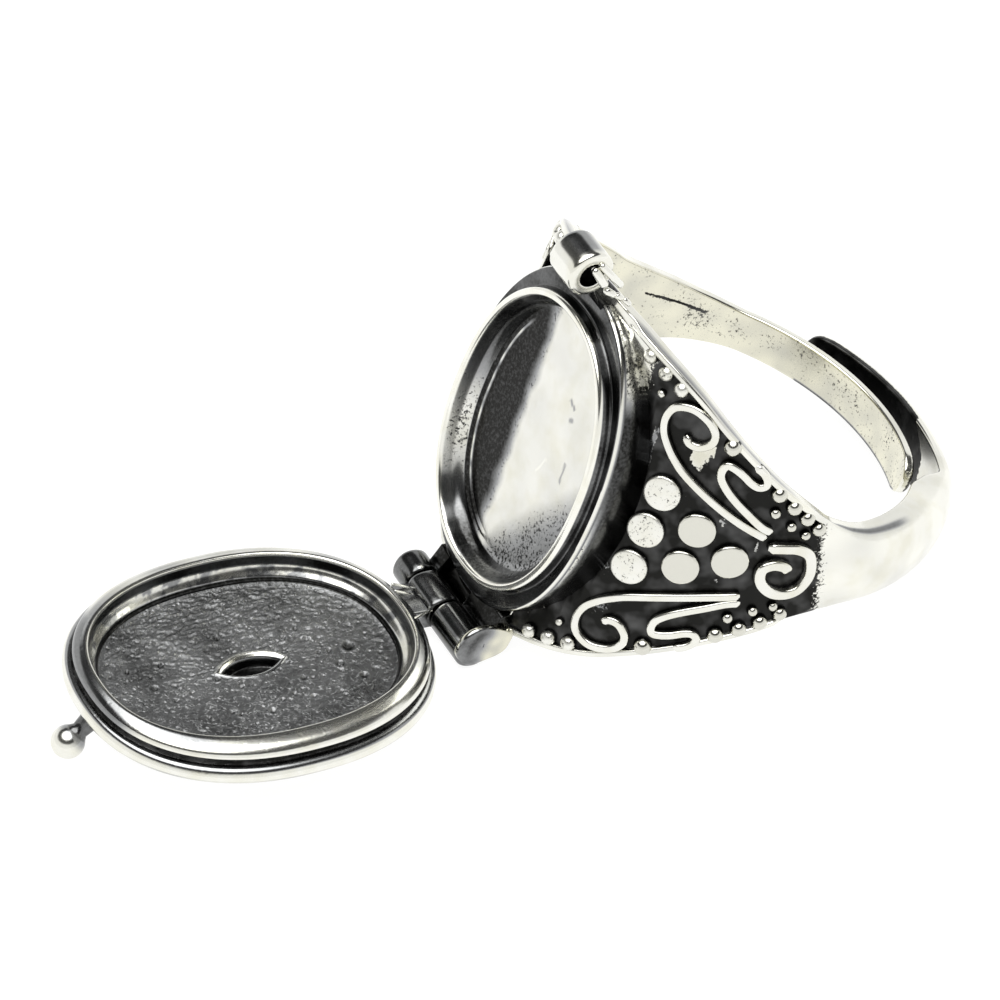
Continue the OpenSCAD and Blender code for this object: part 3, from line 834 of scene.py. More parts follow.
def band_finish(points, radius, turn, side, crown, half):
    """Oxide, haze and warmth of the band, from its points and the radii before its rails were raised. The dark
    between the shank's ends is oxide with painted shade.
    """
    z, spin = points[:, 2], np.abs(turn)
    bore = radius < FINGER_R + 0.03
    # Painted shade with oxide: the outer end's inside is dark below the inner end's shadow line, and the inner
    # end's outside is dark where it faces the outer end.
    dark_to = OVERLAP_R + 0.2 * smooth_step(158, 184, turn)
    dark_top = np.interp(turn, *zip(*SHADE_EDGE))
    gap = np.maximum(smooth_step(dark_top + 0.07, dark_top - 0.07, z)
                     * smooth_step(dark_to + 0.05, dark_to - 0.05, radius) * (turn > OVERLAP[0]),
                     (turn < OVERLAP[1]) * smooth_step(8.95, 9.15, radius) * 0.9)
    ground = band_oxide(points)
    oxide = np.where((turn < 0) & bore & (spin >= 140), ground, np.maximum(ground * (spin < 140), gap))
    start, end, height, fall = INNER_LINE
    along = -start - turn
    slit = bore * smooth_step(-0.5, 0.5, along) * smooth_step(end - start + 0.5, end - start - 0.5, along)
    oxide = np.maximum(oxide, slit * smooth_step(0.1, 0.03, np.abs(z - height + along * fall)))

    haze = 0.05 + 0.06 * wave(points, 1.5, 9.0) + bore * (0.02 + 0.06 * wave(points, 0.8, 2.0))
    bare, grey = ground_marks(np.where(radius > SHOULDER_R - 0.1, turn, -200), z)
    haze = np.where(bare > 0.05, grey, haze)
    bend = (radius - side) / (crown - side)
    # Painted reflection: a dark streak along the upper rounding of the near shank, where its side turns into its
    # crown.
    painted_rounding_reflection = np.exp(-((bend - 0.2) / 0.13) ** 2) * smooth_step(83, 93, turn) * smooth_step(121, 112, turn)
    line = np.exp(-((radius - SIDE_LINE_R) / 0.05) ** 2) * smooth_step(0.04, 0.01, half - np.abs(z))
    line = line * smooth_step(12, 20, spin) * smooth_step(78, 66, spin)
    bevel = smooth_step(-0.17, -0.1, -(half + z)) * (radius < 9.0) * (turn < -150) * (turn > -204)
    haze += 0.8 * painted_rounding_reflection * (z > 0) + 0.7 * (line + bevel)
    warmth = np.maximum(0.85 * (radius < FINGER_R + 0.05) + 0.1, bare * (grey < 0.2))
    return {"oxide": oxide, "haze": np.clip(haze, 0, 1), "warmth": warmth}


class RING_OT_band(bpy.types.Operator):
    """Cast band: both shoulders and the two overlapping ends of the shank"""

    bl_idname = "ring.band"
    bl_label = "Band"

    def execute(self, context):
        """One swept skin from the inner end, round under the cup, to the outer end."""
        table = band_rows()
        first, last = table[0][0], table[-1][0]
        tip = np.array([0, 0.25, 0.5, 0.8, 1.2, 1.7, 2.3, 3])
        turns = np.concatenate([first + tip, np.arange(first + 4, last - 3.5, 0.8), last - tip[::-1]])
        sizes = monotone(table, turns)
        edge = context.scene.ring_sizes.edge_radius / MM
        rows = np.array([[(-r * math.cos(a), -r * math.sin(a), z) for r, z in band_section(*row, edge)]
                         for a, row in zip(np.radians(turns), sizes)])
        points, faces = skin(rows)
        row_of = np.append(np.repeat(np.arange(len(turns)), rows.shape[1]), [0, len(turns) - 1])
        turn = turns[row_of]
        _, side, crown, half, _ = sizes[row_of].T
        radius = np.hypot(points[:, 0], points[:, 1])
        shoulder = (np.abs(turn) < 100) * smooth_step(SHOULDER_R - 0.17, SHOULDER_R - 0.04, radius)
        rails = rail_share(points, half_height(np.abs(turn))) * shoulder
        lifted = radius + (RAIL_R - SHOULDER_R) * rails
        under_cup = (oval_share(points[:, 2], points[:, 1], UNDER_CUP) < 1) & (np.abs(turn) < 60)
        lifted = np.where(under_cup & (radius > SUNK_R + 0.03), SUNK_R, lifted)
        points[:, :2] *= (lifted / radius)[:, None]
        ring_piece("band", points, faces, **band_finish(points, radius, turn, side, crown, half))
        return {"FINISHED"}


# The cup

def oval_share(along, across, size):
    """1 on the oval of the given half sizes, less inside it, in the oval's own measure."""
    return (np.abs(along) / size[0]) ** OVAL_POWER + (np.abs(across) / size[1]) ** OVAL_POWER


def seam_share(points, half_width, full, high, low):
    """1 on the seam at the foot of the cup's far wall, fading over its width and at its ends."""
    along, across = points[:, 2], points[:, 1]
    off = np.abs(oval_share(along, across, SEAM_OVAL) - 1) * SEAM_SCALE
    return smooth_step(half_width, full, off) * smooth_step(0.4, 1.2, across) * smooth_step(high, low, along)


def cup_finish(points):
    """Oxide, grain and haze: bright rim and mirror floor with a painted dark reflection on its far side, dark far
    wall, frosted near wall, dark ledge.
    """
    x, y, z = points.T
    level = -x
    inside = oval_share(z, y, CUP_INSIDE) < 1.0
    oxide, grain, haze = (np.zeros(len(points)) for _ in range(3))
    floor = inside & (level <= CUP_FLOOR_TOP)
    wall = inside & (level > CUP_FLOOR_TOP)
    # Painted reflection: the far side of the mirror floor is darkened, with painted oxide speckle along its soft
    # edge.
    painted_floor_reflection = smooth_step(-0.6, 0.45, y - (1.55 + 0.07 * z) + 0.1 * wave(points, 0.9, 7.0))
    frost = smooth_step(0, 2.2, (z + 4.4) * -0.597 + (y - 0.9) * -0.802) * smooth_step(0.8, 0.0, y)
    haze = np.where(floor, np.maximum(0.1 + 0.03 * wave(points, 1.5, 3.0), 0.97 * painted_floor_reflection), haze)
    haze = np.where(floor, np.maximum(haze, 0.5 * frost), haze)
    oxide = np.where(floor, 0.44 * frost * (1 - painted_floor_reflection) + 1.3 * painted_floor_reflection * (1 - painted_floor_reflection), oxide)
    grain = np.where(floor, 0.7 * frost, grain)
    near_wall = smooth_step(0.5, -1.0, y)
    haze = np.where(wall, 0.95 - 0.1 * near_wall, haze)
    speckled = np.exp(-((z + 2.4) / 3.1) ** 2) * smooth_step(1, 3, y)
    haze = np.where(wall, haze * (1 - 0.9 * speckled), haze)
    oxide = np.where(wall, 0.42 * speckled + 0.3 * near_wall * smooth_step(-1, -4, z), oxide)
    grain = np.where(wall, 0.6 * near_wall, grain)
    seam = floor * seam_share(points, 0.11, 0.03, 4.3, 2.8) * smooth_step(-4.9, -3.8, z)
    haze = haze * (1 - seam * np.clip(0.8 + 0.5 * wave(points, 0.5, 6.0), 0, 1))
    for z0, y0, z1, y1, wide, tone in CUP_MARKS:
        run = np.array([z1 - z0, y1 - y0])
        t = np.clip(((z - z0) * run[0] + (y - y0) * run[1]) / (run @ run), 0, 1)
        off = np.hypot(z - z0 - t * run[0], y - y0 - t * run[1])
        haze = np.where(floor, haze + tone * smooth_step(wide, 0.3 * wide, off), haze)
    rim = smooth_step(CUP_RIM, CUP_RIM + 0.1, level)
    haze *= 1 - rim
    oxide *= 1 - rim
    outside = ~inside & (level < CUP_RIM)
    haze = np.where(outside, 0.87 + 0.06 * wave(points, 0.9, 6.0), haze)
    outer = oval_share(z, y, CUP_OUTSIDE) > 1
    upper = smooth_step(9.32, 9.44, level)
    haze = np.where(outer, 0.06 * upper + (1 - upper) * 0.8, haze)
    below = outer & (level <= 9.3)
    worn = np.exp(-((z + 2.2) / 2.4) ** 2) * smooth_step(-1, -4, y) * smooth_step(8.95, 9.25, level)
    worn = np.maximum(worn, smooth_step(4.6, 6.0, z) * smooth_step(-0.3, -1.2, y))
    haze = np.where(below, 0.95 - 0.85 * worn, haze)
    oxide = np.where(below, 0.45 * worn, oxide)
    grain = np.where(below, 0.4, grain)
    return {"oxide": oxide, "grain": grain, "haze": np.clip(haze, 0, 1)}


class RING_OT_cup(bpy.types.Operator):
    """Shallow oval cup with its collar, ledge and outer wall"""

    bl_idname = "ring.cup"
    bl_label = "Cup"

    def execute(self, context):
        """Lofts the cup, drops its outer wall to the curved shoulders and raises the seam."""
        points, faces = loft_oval(CUP, 320, 0.075, (4.6, 7.5))
        low = points[:, 0] > -9.0
        reach = np.sqrt(np.clip(8.98 ** 2 - points[:, 1] ** 2, 0, None))
        points[:, 0] = np.where(low, -np.minimum(reach, 8.8), points[:, 0])
        points[:, 0] += 0.01 * wave(points, 1.6, 2.0) * (np.abs(points[:, 0]) < 9.3)
        floor = (points[:, 0] > -CUP_FLOOR_TOP) & (points[:, 0] < -9.0)
        points[:, 0] -= 0.03 * seam_share(points, 0.1, 0.02, 4.5, 3.0) * floor
        ring_piece("cup", points, faces, **cup_finish(points))
        return {"FINISHED"}


# Ornament

def scatter(name, places, profile, steps):
    """Studs of one profile at (angle, height, radius on the band, size) places of both shoulders."""
    mesh = bpy.data.meshes.new(name)
    points, faces = spun(profile, steps)
    mesh.from_pydata(points.tolist(), [], faces)
    stud = bpy.data.objects.new(name + "_one", mesh)
    sided = [(side, *place) for side in (1, -1) for place in places]
    carrier = carrier_mesh(name + "_points", [on_band(a, z, r, side) for side, a, z, r, _ in sided], [],
                           [away(a, side) for side, a, *_ in sided], [place[-1] * MM for place in sided])
    piece = grown(name, carrier, studs_tree(), {"Stud": stud, "Metal": silver("silver")})
    bpy.data.objects.remove(stud)
    x, y, z = in_ring(piece.data).T
    pitted = smooth_step(48, 46, np.abs(np.degrees(np.arctan2(y, -x))))
    oxide = np.maximum(relief_oxide(x, y), 0.3 * pitted)
    dress_ring(piece, oxide=oxide, grain=0.9 * pitted, haze=0.16 - 0.12 * pitted, warmth=0.5 * (1 - pitted))


class RING_OT_discs(bpy.types.Operator):
    """Triangle of flat discs on each shoulder"""

    bl_idname = "ring.discs"
    bl_label = "Discs"

    def execute(self, context):
        """Grows one disc on each place of the columns."""
        crown = context.scene.ring_sizes.disc_crown / MM / DISC_R
        top = (RELIEF_R - SHOULDER_R) / DISC_R - crown
        profile = [(0.98, -0.3), (1.0, -0.1), (1.0, top - 0.16), (0.985, top - 0.08), (0.93, top - 0.015),
                   (0.85, top), (0.5, top + 0.7 * crown), (0.15, top + crown)]
        places = [(column, row * DISC_PITCH, SHOULDER_R, DISC_R)
                  for column, rows in DISC_COLUMNS for row in rows]
        scatter("discs", places, profile, 40)
        return {"FINISHED"}


class RING_OT_granules(bpy.types.Operator):
    """Granules along the edges of each shoulder"""

    bl_idname = "ring.granules"
    bl_label = "Granules"

    def execute(self, context):
        """Grows one ball on each place, half sunk in the shoulder."""
        profile = [(math.cos(t), math.sin(t)) for t in np.linspace(-1.2, 1.45, 12)]
        places = [(a, side * z, SHOULDER_R + 0.06, r) for a, z, r in GRANULES for side in (1, -1)]
        scatter("granules", places, profile, 20)
        return {"FINISHED"}


class RING_OT_scrolls(bpy.types.Operator):
    """Scrolls of flat wire soldered to each shoulder"""

    bl_idname = "ring.scrolls"
    bl_label = "Scrolls"

    def execute(self, context):
        """Lays the wires of both shoulders along their lines and grows their section."""
        sizes = context.scene.ring_sizes
        points, edges, facing, size = [], [], [], []
        height = RELIEF_R - SHOULDER_R + 0.08
        middle = RELIEF_R - height / 2
        flat = (math.radians(middle), 1)
        wires = [(table, flip, 1) for flip in (1, -1) for table in (LONG_SCROLL, SHORT_SCROLL)]
        for side in (1, -1):
            for table, flip, wide in (*wires, (END_SPIRAL, 1, SPIRAL_WIDTH)):
                line = even_steps(through(table, 9) * flat, 0.06) / flat
                places = np.array([on_band(a, flip * z, middle, side) for a, z in line])
                run = run_length(places)
                width = wide * sizes.wire_width / MM
                room = np.minimum(run, run[-1] - run) / (0.5 * width)
                round_end = np.sqrt(np.clip(1 - (1 - np.clip(room, 0.15, 1)) ** 2, 0, 1))
                base = len(points)
                points += places.tolist()
                facing += [away(a, side) for a, _ in line]
                size += (round_end * wide).tolist()
                edges += [(base + i, base + i + 1) for i in range(len(line) - 1)]
        carrier = carrier_mesh("scroll_lines", points, edges, facing, size)
        piece = grown("scrolls", carrier, wire_tree(), {
            "Width": sizes.wire_width, "Height": height * MM, "Edge": 0.09 * MM, "Metal": silver("silver")})
        x, y, _ = in_ring(piece.data).T
        dress_ring(piece, oxide=relief_oxide(x, y), haze=0.06)
        return {"FINISHED"}


# Hinge and barrel

def knuckle_profile(radius, hole, ends, soft):
    """Section of a drilled knuckle as (radius, y) places that close on themselves."""
    low, high = ends
    corners = [(hole, low + 0.3, 0), (hole, low, 0.05), (radius, low, soft), (radius, high, soft),
               (hole, high, 0.05), (hole, high - 0.3, 0)]
    return refine(rounded(corners, 5), 0.25)


def web(outline, ends, soft=0.06, insets=(5,)):
    """Plate across y with softened long edges, from an outline in ring x and z."""
    p = refine(np.array([*outline, outline[0]], float), 0.12)[:-1]
    centre = p.mean(axis=0)
    out = p - centre
    reach = np.linalg.norm(out, axis=1, keepdims=True)
    low, high = ends
    section = [(low, inset) for inset in insets]
    section += [(low, 1.3), (low + 0.1 * soft, 0.8), (low + 0.4 * soft, 0.3), (low + soft, 0),
                (high - soft, 0), (high - 0.4 * soft, 0.3), (high, 1)]
    return skin([[(a, y, b) for a, b in centre + out * (1 - shrink * soft / reach)] for y, shrink in section])


class RING_OT_hinge(bpy.types.Operator):
    """Two fixed hinge lugs with their webs and the plate between them"""

    bl_idname = "ring.hinge"
    bl_label = "Hinge lugs"

    def execute(self, context):
        """Turns the lugs and joins them to the foot of the cup."""
        hx, hz = HINGE.x, HINGE.z
        parts = [turned(knuckle_profile(KNUCKLE_R, PIN_HOLE_R, ends, 0.2), (hx + 0.07, hz + 0.03), 2.6)
                 for ends in (FAR_LUG, NEAR_LUG)]
        for upper, lower, span in ((-7.7, -7.6, (FAR_LUG[0] + 0.03, 2.5)),
                                   (-7.4, -7.2, (-2.8, NEAR_LUG[1] - 0.03))):
            cheek = [(hx + 0.62, hz + 0.48), (hx + 0.95, upper), (-8.4, lower), (-8.3, -8.1),
                     (hx + 0.42, hz - 0.66)]
            parts.append(web(cheek, span))
        bridge = [(-8.9, -7.4), (-7.9, -7.2), (-7.9, -8.2), (hx + 1.02, hz - 0.12), (hx + 0.9, hz + 0.4)]
        parts.append(web(bridge, (NEAR_LUG[1] - 0.1, FAR_LUG[0] + 0.1)))
        dark = sum(len(p) for p, _ in parts)
        end_face = through([*LUG_END, LUG_END[0]], 4)[:-1]
        parts.append(web(end_face, (NEAR_LUG[0] - 0.06, NEAR_LUG[0] + 0.3), 0.12,
                         (8.5, 7.5, 6.5, 5.5, 4.5, 3.5, 2.5)))
        cap = dark + len(parts[-1][0])
        parts += [bead(a, b, r) for a, b, r in HINGE_BEADS]
        points, faces = merged(*parts)
        reach = np.hypot(points[:, 0] - hx, points[:, 2] - hz)
        gaps = sum(np.exp(-((points[:, 1] - y) / 0.07) ** 2) for y in (NEAR_LUG[1], FAR_LUG[0]))
        haze = 0.76 + 0.2 * smooth_step(0.95, 1.05, reach) + 0.3 * gaps
        # Painted highlights: the haze is lowered round each glint, so it shows bright.
        for place, spread in HINGE_GLINTS:
            off = np.linalg.norm(points - place, axis=1)
            haze -= 0.8 * smooth_step(spread, 0.5 * spread, off)
        face = 0.8 - 0.74 * smooth_step(hx - 0.2, hx + 1.1, points[:, 0]) + 0.14 * wave(points, 0.6, 2.0)
        edge = smooth_step(NEAR_LUG[0] + 0.02, NEAR_LUG[0] + 0.1, points[:, 1])
        haze[dark:cap] = (face * (1 - edge) + 0.08 * edge)[dark:cap]
        haze[cap:] = 0.05
        warmth = np.zeros(len(points))
        warmth[dark:cap] = 1.0
        ring_piece("hinge_lugs", points, faces, haze=np.clip(haze, 0, 1), warmth=warmth)
        return {"FINISHED"}


class RING_OT_barrel(bpy.types.Operator):
    """Drilled barrel at the end away from the hinge"""

    bl_idname = "ring.barrel"
    bl_label = "End barrel"

    def execute(self, context):
        """Turns the barrel and joins its web and solder beads at its foot."""
        barrel = turned(knuckle_profile(BARREL_R, BARREL_HOLE_R, BARREL_ENDS, 0.34), (BARREL_X, BARREL_Z))
        foot = web([(BARREL_X + 0.5, BARREL_Z - 0.8), (BARREL_X + 0.8, BARREL_Z - 0.15), (-8.75, 8.3),
                    (-8.75, 7.5), (-9.5, 7.5)], (BARREL_ENDS[0] + 0.22, BARREL_ENDS[1] - 0.12))
        beads = [bead(a, b, r) for a, b, r in BARREL_BEADS]
        points, faces = merged(barrel, foot, *beads)
        x, z = points[:, 0] - BARREL_X, points[:, 2] - BARREL_Z
        reach, turn = np.hypot(x, z), np.degrees(np.arctan2(z, x))
        # Painted shade: the barrel is darkened on its upper side, by angle round its bore, away from its near end.
        painted_top_shade = smooth_step(50, 85, turn) * smooth_step(150, 120, turn)
        haze = 0.04 + 0.5 * painted_top_shade * smooth_step(-1.0, -0.6, points[:, 1])
        haze = np.where(reach < BARREL_HOLE_R + 0.03, 0.97, haze)
        haze = np.where(reach > BARREL_R + 0.02, 0.92, haze)
        haze[-sum(len(b[0]) for b in beads):] = 0.05
        ring_piece("end_barrel", points, faces, haze=haze)
        return {"FINISHED"}


class RING_OT_pin(bpy.types.Operator):
    """Wire pin of the hinge"""

    bl_idname = "ring.pin"
    bl_label = "Hinge pin"

    def execute(self, context):
        """Gives the pin its dull silver."""
        pin = frame["nodes"]["hinge_pin"]
        pin.data.materials.clear()
        pin.data.materials.append(silver("pin_silver"))
        return {"FINISHED"}


# The lid

def on_floor(points):
    """Which of the lid's points lie on its floor."""
    low, high = FLOOR_LEVELS
    return (-points[:, 0] > low) & (-points[:, 0] < high)


def eye_distance(along, across):
    """Distance outside the pointed oval hole, negative inside it."""
    length, width = EYE_HALF
    bow = (length ** 2 + width ** 2) / (2 * width)
    return np.hypot(along - EYE_PLACE[0], np.abs(across - EYE_PLACE[1]) + bow - width) - bow


def eyed_floor(points):
    """The lid's points, with the middle rows of its floor drawn to the shape of the pointed hole."""
    length, width = LID[1][:2]
    share = (np.abs(points[:, 2]) / length) ** LID_POWER + (np.abs(points[:, 1]) / width) ** LID_POWER
    share **= 1 / LID_POWER
    floor = on_floor(points) & (share < 1)
    unit = points[:, 1:] / np.where(share > 0, share, 1)[:, None] / (width, length)
    bow = (EYE_HALF[0] ** 2 + EYE_HALF[1] ** 2) / (2 * EYE_HALF[1])
    reach = EYE_HALF[0] * np.clip(unit[:, 1], -1, 1)
    rise = np.sqrt(bow ** 2 - reach ** 2) - bow + EYE_HALF[1]
    pointed = np.stack([np.sign(unit[:, 0]) * rise, reach], axis=1) * (share / EYE_SHARE)[:, None]
    weight = smooth_step(EYE_FREE, EYE_SHARE, share)[:, None]
    moved = points[:, 1:] * (1 - weight) + (pointed + (EYE_PLACE[1], EYE_PLACE[0])) * weight
    out = points.copy()
    out[:, 1:] = np.where(floor[:, None], moved, points[:, 1:])
    return out


def lid_floor_height(along, across, sizes):
    """Height of the lid's floor above its plane: ripples, pits and the lipped hole."""
    places = np.stack([along, across, np.zeros_like(along)], axis=1)
    stretched = places * (0.6, 1.4, 1)
    height = sizes.ripple / MM * (0.3 + 0.8 * smooth_step(-2.5, 3.0, across))
    height = height * (0.7 * wave(stretched, 0.42, 1.0) + wave(stretched, 0.17, 4.0))
    rng = np.random.default_rng(sizes.seed)
    small = [(rng.uniform(-6, 6), rng.uniform(-4.2, 4.2), rng.uniform(0.07, 0.14), rng.uniform(0.03, 0.07))
             for _ in range(240)]
    for z, y, radius, deep in (*PITS, *small):
        d = np.hypot(along - z, across - y) / radius
        height -= deep * np.clip(1 - d * d, 0, 1)
        height += 0.3 * deep * np.exp(-((d - 1.2) / 0.25) ** 2)
    d = eye_distance(along, across)
    back = smooth_step(-0.45, 0.35, across)
    height = height * smooth_step(0.1 + 0.15 * back, 0.3 + 0.25 * back, d)
    height -= EYE_DEPTH * smooth_step(0.02, -0.22, d)
    return height + (0.04 + 0.09 * back) * np.exp(-((d - 0.1 - 0.1 * back) / (0.08 + 0.08 * back)) ** 2)


def lid_finish(points):
    """Oxide, grain and haze: grey floor and rim, bright edges, side band and dome, black groove."""
    level = -points[:, 0]
    along, across = points[:, 2], points[:, 1]
    outer = oval_share(along, across, LID_OUTSIDE) > 1
    cloud = wave(points, 1.8, 8.0)
    far = smooth_step(-3, 3.5, across)
    floor_low, dome = FLOOR_FINISH
    haze = np.where(level > dome, np.clip(0.16 + 0.1 * cloud, 0.04, 1), 0.0)
    floor = ~outer & (level >= floor_low) & (level < dome)
    haze = np.where(floor, 0.76 + 0.07 * cloud - 0.04 * far, haze)
    wall = ~outer & (level < floor_low)
    haze = np.where(wall, 0.6 + 0.3 * far + 0.12 * cloud, haze)
    haze = np.where(wall & (level > 10.58), 0.97, haze)
    ledge = smooth_step(10.6, 10.52, level) * smooth_step(10.1, 10.2, level) * ~outer
    streaks = 0.1 + 0.5 * smooth_step(-0.1, 0.9, wave(points, 0.6, 2.0) + 0.6 * wave(points, 0.22, 3.0))
    haze = haze * (1 - ledge) + ledge * streaks
    lip = oval_share(along, across, LIP_OVAL)
    haze = np.where((level < 9.74) & (lip < 1.05), 0.08, haze)
    # Painted light on the rim's top: lighter on the far side, much lighter on the near side, darker between.
    top = smooth_step(9.9, 9.65, level) * smooth_step(1.03, 1.07, lip)
    back = smooth_step(0.5, 4.5, across - 0.25 * along)
    front = smooth_step(-3.4, -5.2, across) * smooth_step(5.6, 3.0, along)
    haze = haze * (1 - top) + top * np.clip(0.55 - 0.3 * back - 0.5 * front + 0.14 * cloud, 0.04, 1)
    dull_end = smooth_step(4.9, 6.4, along) * smooth_step(-3.4, -1.8, across) * outer
    dull_end = dull_end * smooth_step(10.2, 10.1, level) * smooth_step(1.02, 1.08, lip)
    haze = np.maximum(haze, 0.64 * dull_end)
    groove_low, groove_high = GROOVE_LEVELS
    groove = outer & (level > groove_low) & (level < groove_high)
    haze = np.where(groove, 0.97, haze)
    haze = np.where(outer & (level >= groove_high) & (level < STRIP_TOP), 0.5, haze)
    return np.where(groove, 0.6, 0.0), floor * (0.45 + 0.55 * far), np.clip(haze, 0, 1)


class RING_OT_lid(bpy.types.Operator):
    """Oval lid with its pitted floor, rim, groove, flange and low dome"""

    bl_idname = "ring.lid"
    bl_label = "Lid"

    def execute(self, context):
        """Lofts the closed lid, shapes its floor and swings it open."""
        points, faces = loft_oval(LID, 320, 0.077, (0.0, 7.5), LID_POWER)
        points = eyed_floor(points)
        along, across = points[:, 2].copy(), points[:, 1].copy()
        fade = oval_share(along, across, FLOOR_OVAL)
        floor = on_floor(points) & (fade < 1)
        rise = np.zeros(len(points))
        rise[floor] = lid_floor_height(along[floor], across[floor], context.scene.ring_sizes)
        oxide, grain, haze = lid_finish(points)
        points[:, 0] += rise * smooth_step(1.0, 0.9, fade)
        haze = np.where(floor, np.clip(haze - 1.6 * np.clip(rise, -0.12, 0.1), 0.1, 1), haze)
        eye = eye_distance(along, across)
        # Painted shade: the floor of the pointed hole is dark.
        haze = np.where(floor & (eye < -0.02), 0.93, haze)
        # Painted highlight on the lip round the hole, stronger on its far side.
        back = smooth_step(-0.45, 0.35, across)
        lip = floor * smooth_step(0.2 + 0.2 * back, 0.1, eye) * smooth_step(-0.02, 0.06, eye)
        haze = np.clip(haze - (0.25 + 0.4 * back) * lip, 0.04, 1)
        points[:, 2] += LID_SHIFT[0]
        rim = smooth_step(1.03, 1.2, oval_share(along, across, LIP_OVAL))
        points[:, 1] += LID_SHIFT[1] + RIM_SHIFT * rim
        lid_piece("lid_shell", points, faces, oxide=oxide, grain=np.where(eye < 0.2, 0.0, grain), haze=haze)
        return {"FINISHED"}


class RING_OT_lid_ends(bpy.types.Operator):
    """Thumbnail ball on its neck, and the lid's own knuckle"""

    bl_idname = "ring.lid_ends"
    bl_label = "Lid ball and knuckle"

    def execute(self, context):
        """Turns the ball and neck, and the knuckle with its strap."""
        angles = np.linspace(-np.pi / 2 + 0.12, np.pi / 2 - 0.06, 30)
        ball = [(BALL_R * math.cos(t), BALL_R * math.sin(t)) for t in angles if math.sin(t) > -0.78]
        points, faces = spun([(0.5, -2.0), (0.48, -1.5), (0.42, -1.0), (0.38, -0.72), *ball], 48)
        lean = np.array(Matrix.Rotation(math.radians(BALL_LEAN - 180), 3, "Y"))
        along = points[:, 2].copy()
        points = points @ lean.T + (BALL_X, LID_SHIFT[1], BALL_Z - 0.14)
        haze = np.where(along < -0.5, 0.8, 0.05 + 0.5 * smooth_step(0.0, -0.5, along))
        lid_piece("lid_ball", points, faces, haze=haze)

        hx, hz = HINGE.x, HINGE.z
        low, high = LID_KNUCKLE
        knuckle = turned(knuckle_profile(KNUCKLE_R, 0.4, LID_KNUCKLE, 0.2), (hx, hz), squareness=4.0)
        strap = web([(hx - 0.66, hz + 0.3), (hx + 0.34, hz + 0.6), (-9.9, -7.4), (-11.0, -7.4)],
                    (low + 0.06, high - 0.06))
        fillets = [bead(start, end, 0.07) for start, end in LID_FILLETS]
        points, faces = merged(knuckle, strap, *fillets)
        reach = np.hypot(points[:, 0] - hx, points[:, 2] - hz)
        ends = np.minimum(points[:, 1] - low, high - points[:, 1])
        haze = np.where(reach < 1.0, 0.74 + 0.2 * smooth_step(0.1, 0.02, ends), 0.66)
        # Painted highlight on the knuckle where it stands open.
        place, spread = KNUCKLE_GLINT
        off = np.linalg.norm(points - np.array(LID_TO_RING.inverted() @ Vector(place)), axis=1)
        haze = np.clip(haze - 0.7 * smooth_step(spread, 0.5 * spread, off), 0.02, 1)
        haze[-sum(len(f[0]) for f in fillets):] = 0.1
        lid_piece("lid_knuckle", points, faces, haze=haze)
        return {"FINISHED"}


# Studio

def studio_world():
    """White round the horizon, a dark belt above it and a bright soft light overhead."""
    world = bpy.data.worlds.new("light_tent")
    world.use_nodes = True
    tree = world.node_tree
    tree.nodes.clear()
    height = add(tree, "ShaderNodeSeparateXYZ", {0: add(tree, "ShaderNodeTexCoord", {}, "Generated")}, "Z")
    colour = add(tree, "ShaderNodeValToRGB", {0: height})
    stops = ((0.0, 1.0), (0.42, 1.0), (0.52, 0.07), (0.8, 0.05), (0.88, 1.0), (1.0, 1.0))
    ramp = colour.node.color_ramp
    ramp.interpolation = "EASE"
    while len(ramp.elements) < len(stops):
        ramp.elements.new(0.5)
    for element, (at, grey) in zip(ramp.elements, stops):
        element.position = at
        element.color = (grey, grey, grey * 0.985, 1)
    light = add(tree, "ShaderNodeBackground", {0: colour, 1: ranged(tree, height, 0.78, 0.9, 1.0, 4.0)})
    fill(tree, tree.nodes.new("ShaderNodeOutputWorld"), {0: light})
    return world


def paper_material():
    """Matt white paper with a faint grain."""
    material = bpy.data.materials.new("white_paper")
    material.use_nodes = True
    tree = material.node_tree
    grain = lumps(tree, add(tree, "ShaderNodeTexCoord", {}, "Object"), 300.0, 2.0)
    tone = blend(tree, grain, (0.98, 0.98, 0.975, 1), (1.0, 1.0, 0.995, 1))
    fill(tree, tree.nodes["Principled BSDF"], {
        "Base Color": blend(tree, 0.88, tone, (0.05, 0.05, 0.05, 1)), "Emission Color": tone,
        "Emission Strength": 0.93, "Roughness": 0.9, "Specular IOR Level": 0.1})
    return material


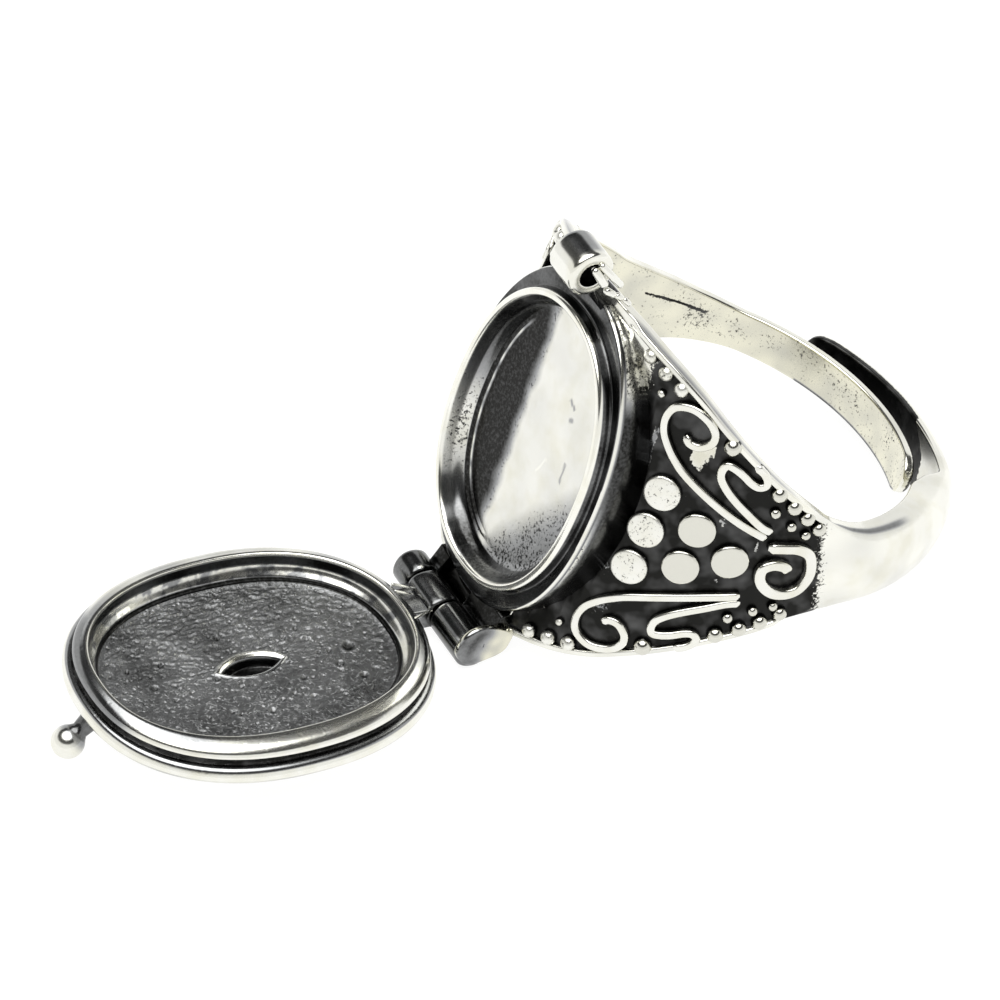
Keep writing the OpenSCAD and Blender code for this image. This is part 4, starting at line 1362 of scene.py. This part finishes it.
class RING_OT_studio(bpy.types.Operator):
    """White table, soft light tent and the camera"""

    bl_idname = "ring.studio"
    bl_label = "Studio"

    def execute(self, context):
        """Lays the table under the ring, lights it and frames it as photographed."""
        scene = context.scene
        studio = scene.ring_studio
        half = 1.5
        level = CAD_BOX[0][2]
        mesh = bpy.data.meshes.new("table")
        corners = ((-half, -half), (half, -half), (half, half), (-half, half))
        mesh.from_pydata([(x, y, level) for x, y in corners], [], [(0, 1, 2, 3)])
        table = bpy.data.objects.new("table", mesh)
        scene.collection.objects.link(table)
        mesh.materials.append(paper_material())
        scene.world = studio_world()
        scene.view_settings.view_transform = "Standard"

        azimuth, elevation, roll = (math.radians(v) for v in (studio.azimuth, studio.elevation, studio.roll))
        back = Vector((math.sin(azimuth) * math.cos(elevation), -math.cos(azimuth) * math.cos(elevation),
                       math.sin(elevation)))
        level_right = Vector((0, 0, 1)).cross(back).normalized()
        level_up = back.cross(level_right)
        right = math.cos(roll) * level_right + math.sin(roll) * level_up
        up = back.cross(right)
        camera = bpy.data.objects.new("camera", bpy.data.cameras.new("camera"))
        camera.data.sensor_width = 36
        camera.data.lens = studio.lens
        camera.data.clip_start = 0.01
        camera.data.clip_end = 10
        turn = Matrix((right, up, back)).transposed().to_4x4()
        camera.matrix_world = Matrix.Translation(Vector(studio.aim) + back * studio.distance) @ turn
        scene.collection.objects.link(camera)
        scene.camera = camera
        return {"FINISHED"}


OPERATORS = (
    RING_OT_studio, RING_OT_band, RING_OT_cup, RING_OT_discs, RING_OT_granules, RING_OT_scrolls,
    RING_OT_hinge, RING_OT_barrel, RING_OT_pin, RING_OT_lid, RING_OT_lid_ends,
)
GROUPS = {"ring_sizes": RingSizes, "ring_finish": RingFinish, "ring_studio": RingStudio}


class VIEW3D_PT_ring(bpy.types.Panel):
    """Panel that lists the pieces of the ring"""

    bl_label = "Silver locket ring"
    bl_idname = "VIEW3D_PT_ring"
    bl_space_type = "VIEW_3D"
    bl_region_type = "UI"
    bl_category = "Ring"

    def draw(self, context):
        """Lists the operators in building order."""
        for operator in OPERATORS:
            self.layout.operator(operator.bl_idname)


def register():
    """Registers the sizes, operators and panel."""
    for cls in (*GROUPS.values(), *OPERATORS, VIEW3D_PT_ring):
        bpy.utils.register_class(cls)
    for name, group in GROUPS.items():
        setattr(bpy.types.Scene, name, PointerProperty(type=group))


def unregister():
    """Removes them again."""
    for name in GROUPS:
        delattr(bpy.types.Scene, name)
    for cls in (VIEW3D_PT_ring, *reversed(OPERATORS), *reversed(GROUPS.values())):
        bpy.utils.unregister_class(cls)


def main():
    register()
    for operator in OPERATORS:
        group, name = operator.bl_idname.split(".")
        getattr(getattr(bpy.ops, group), name)()
    bpy.context.view_layer.update()


if __name__ == "__main__":
    main()
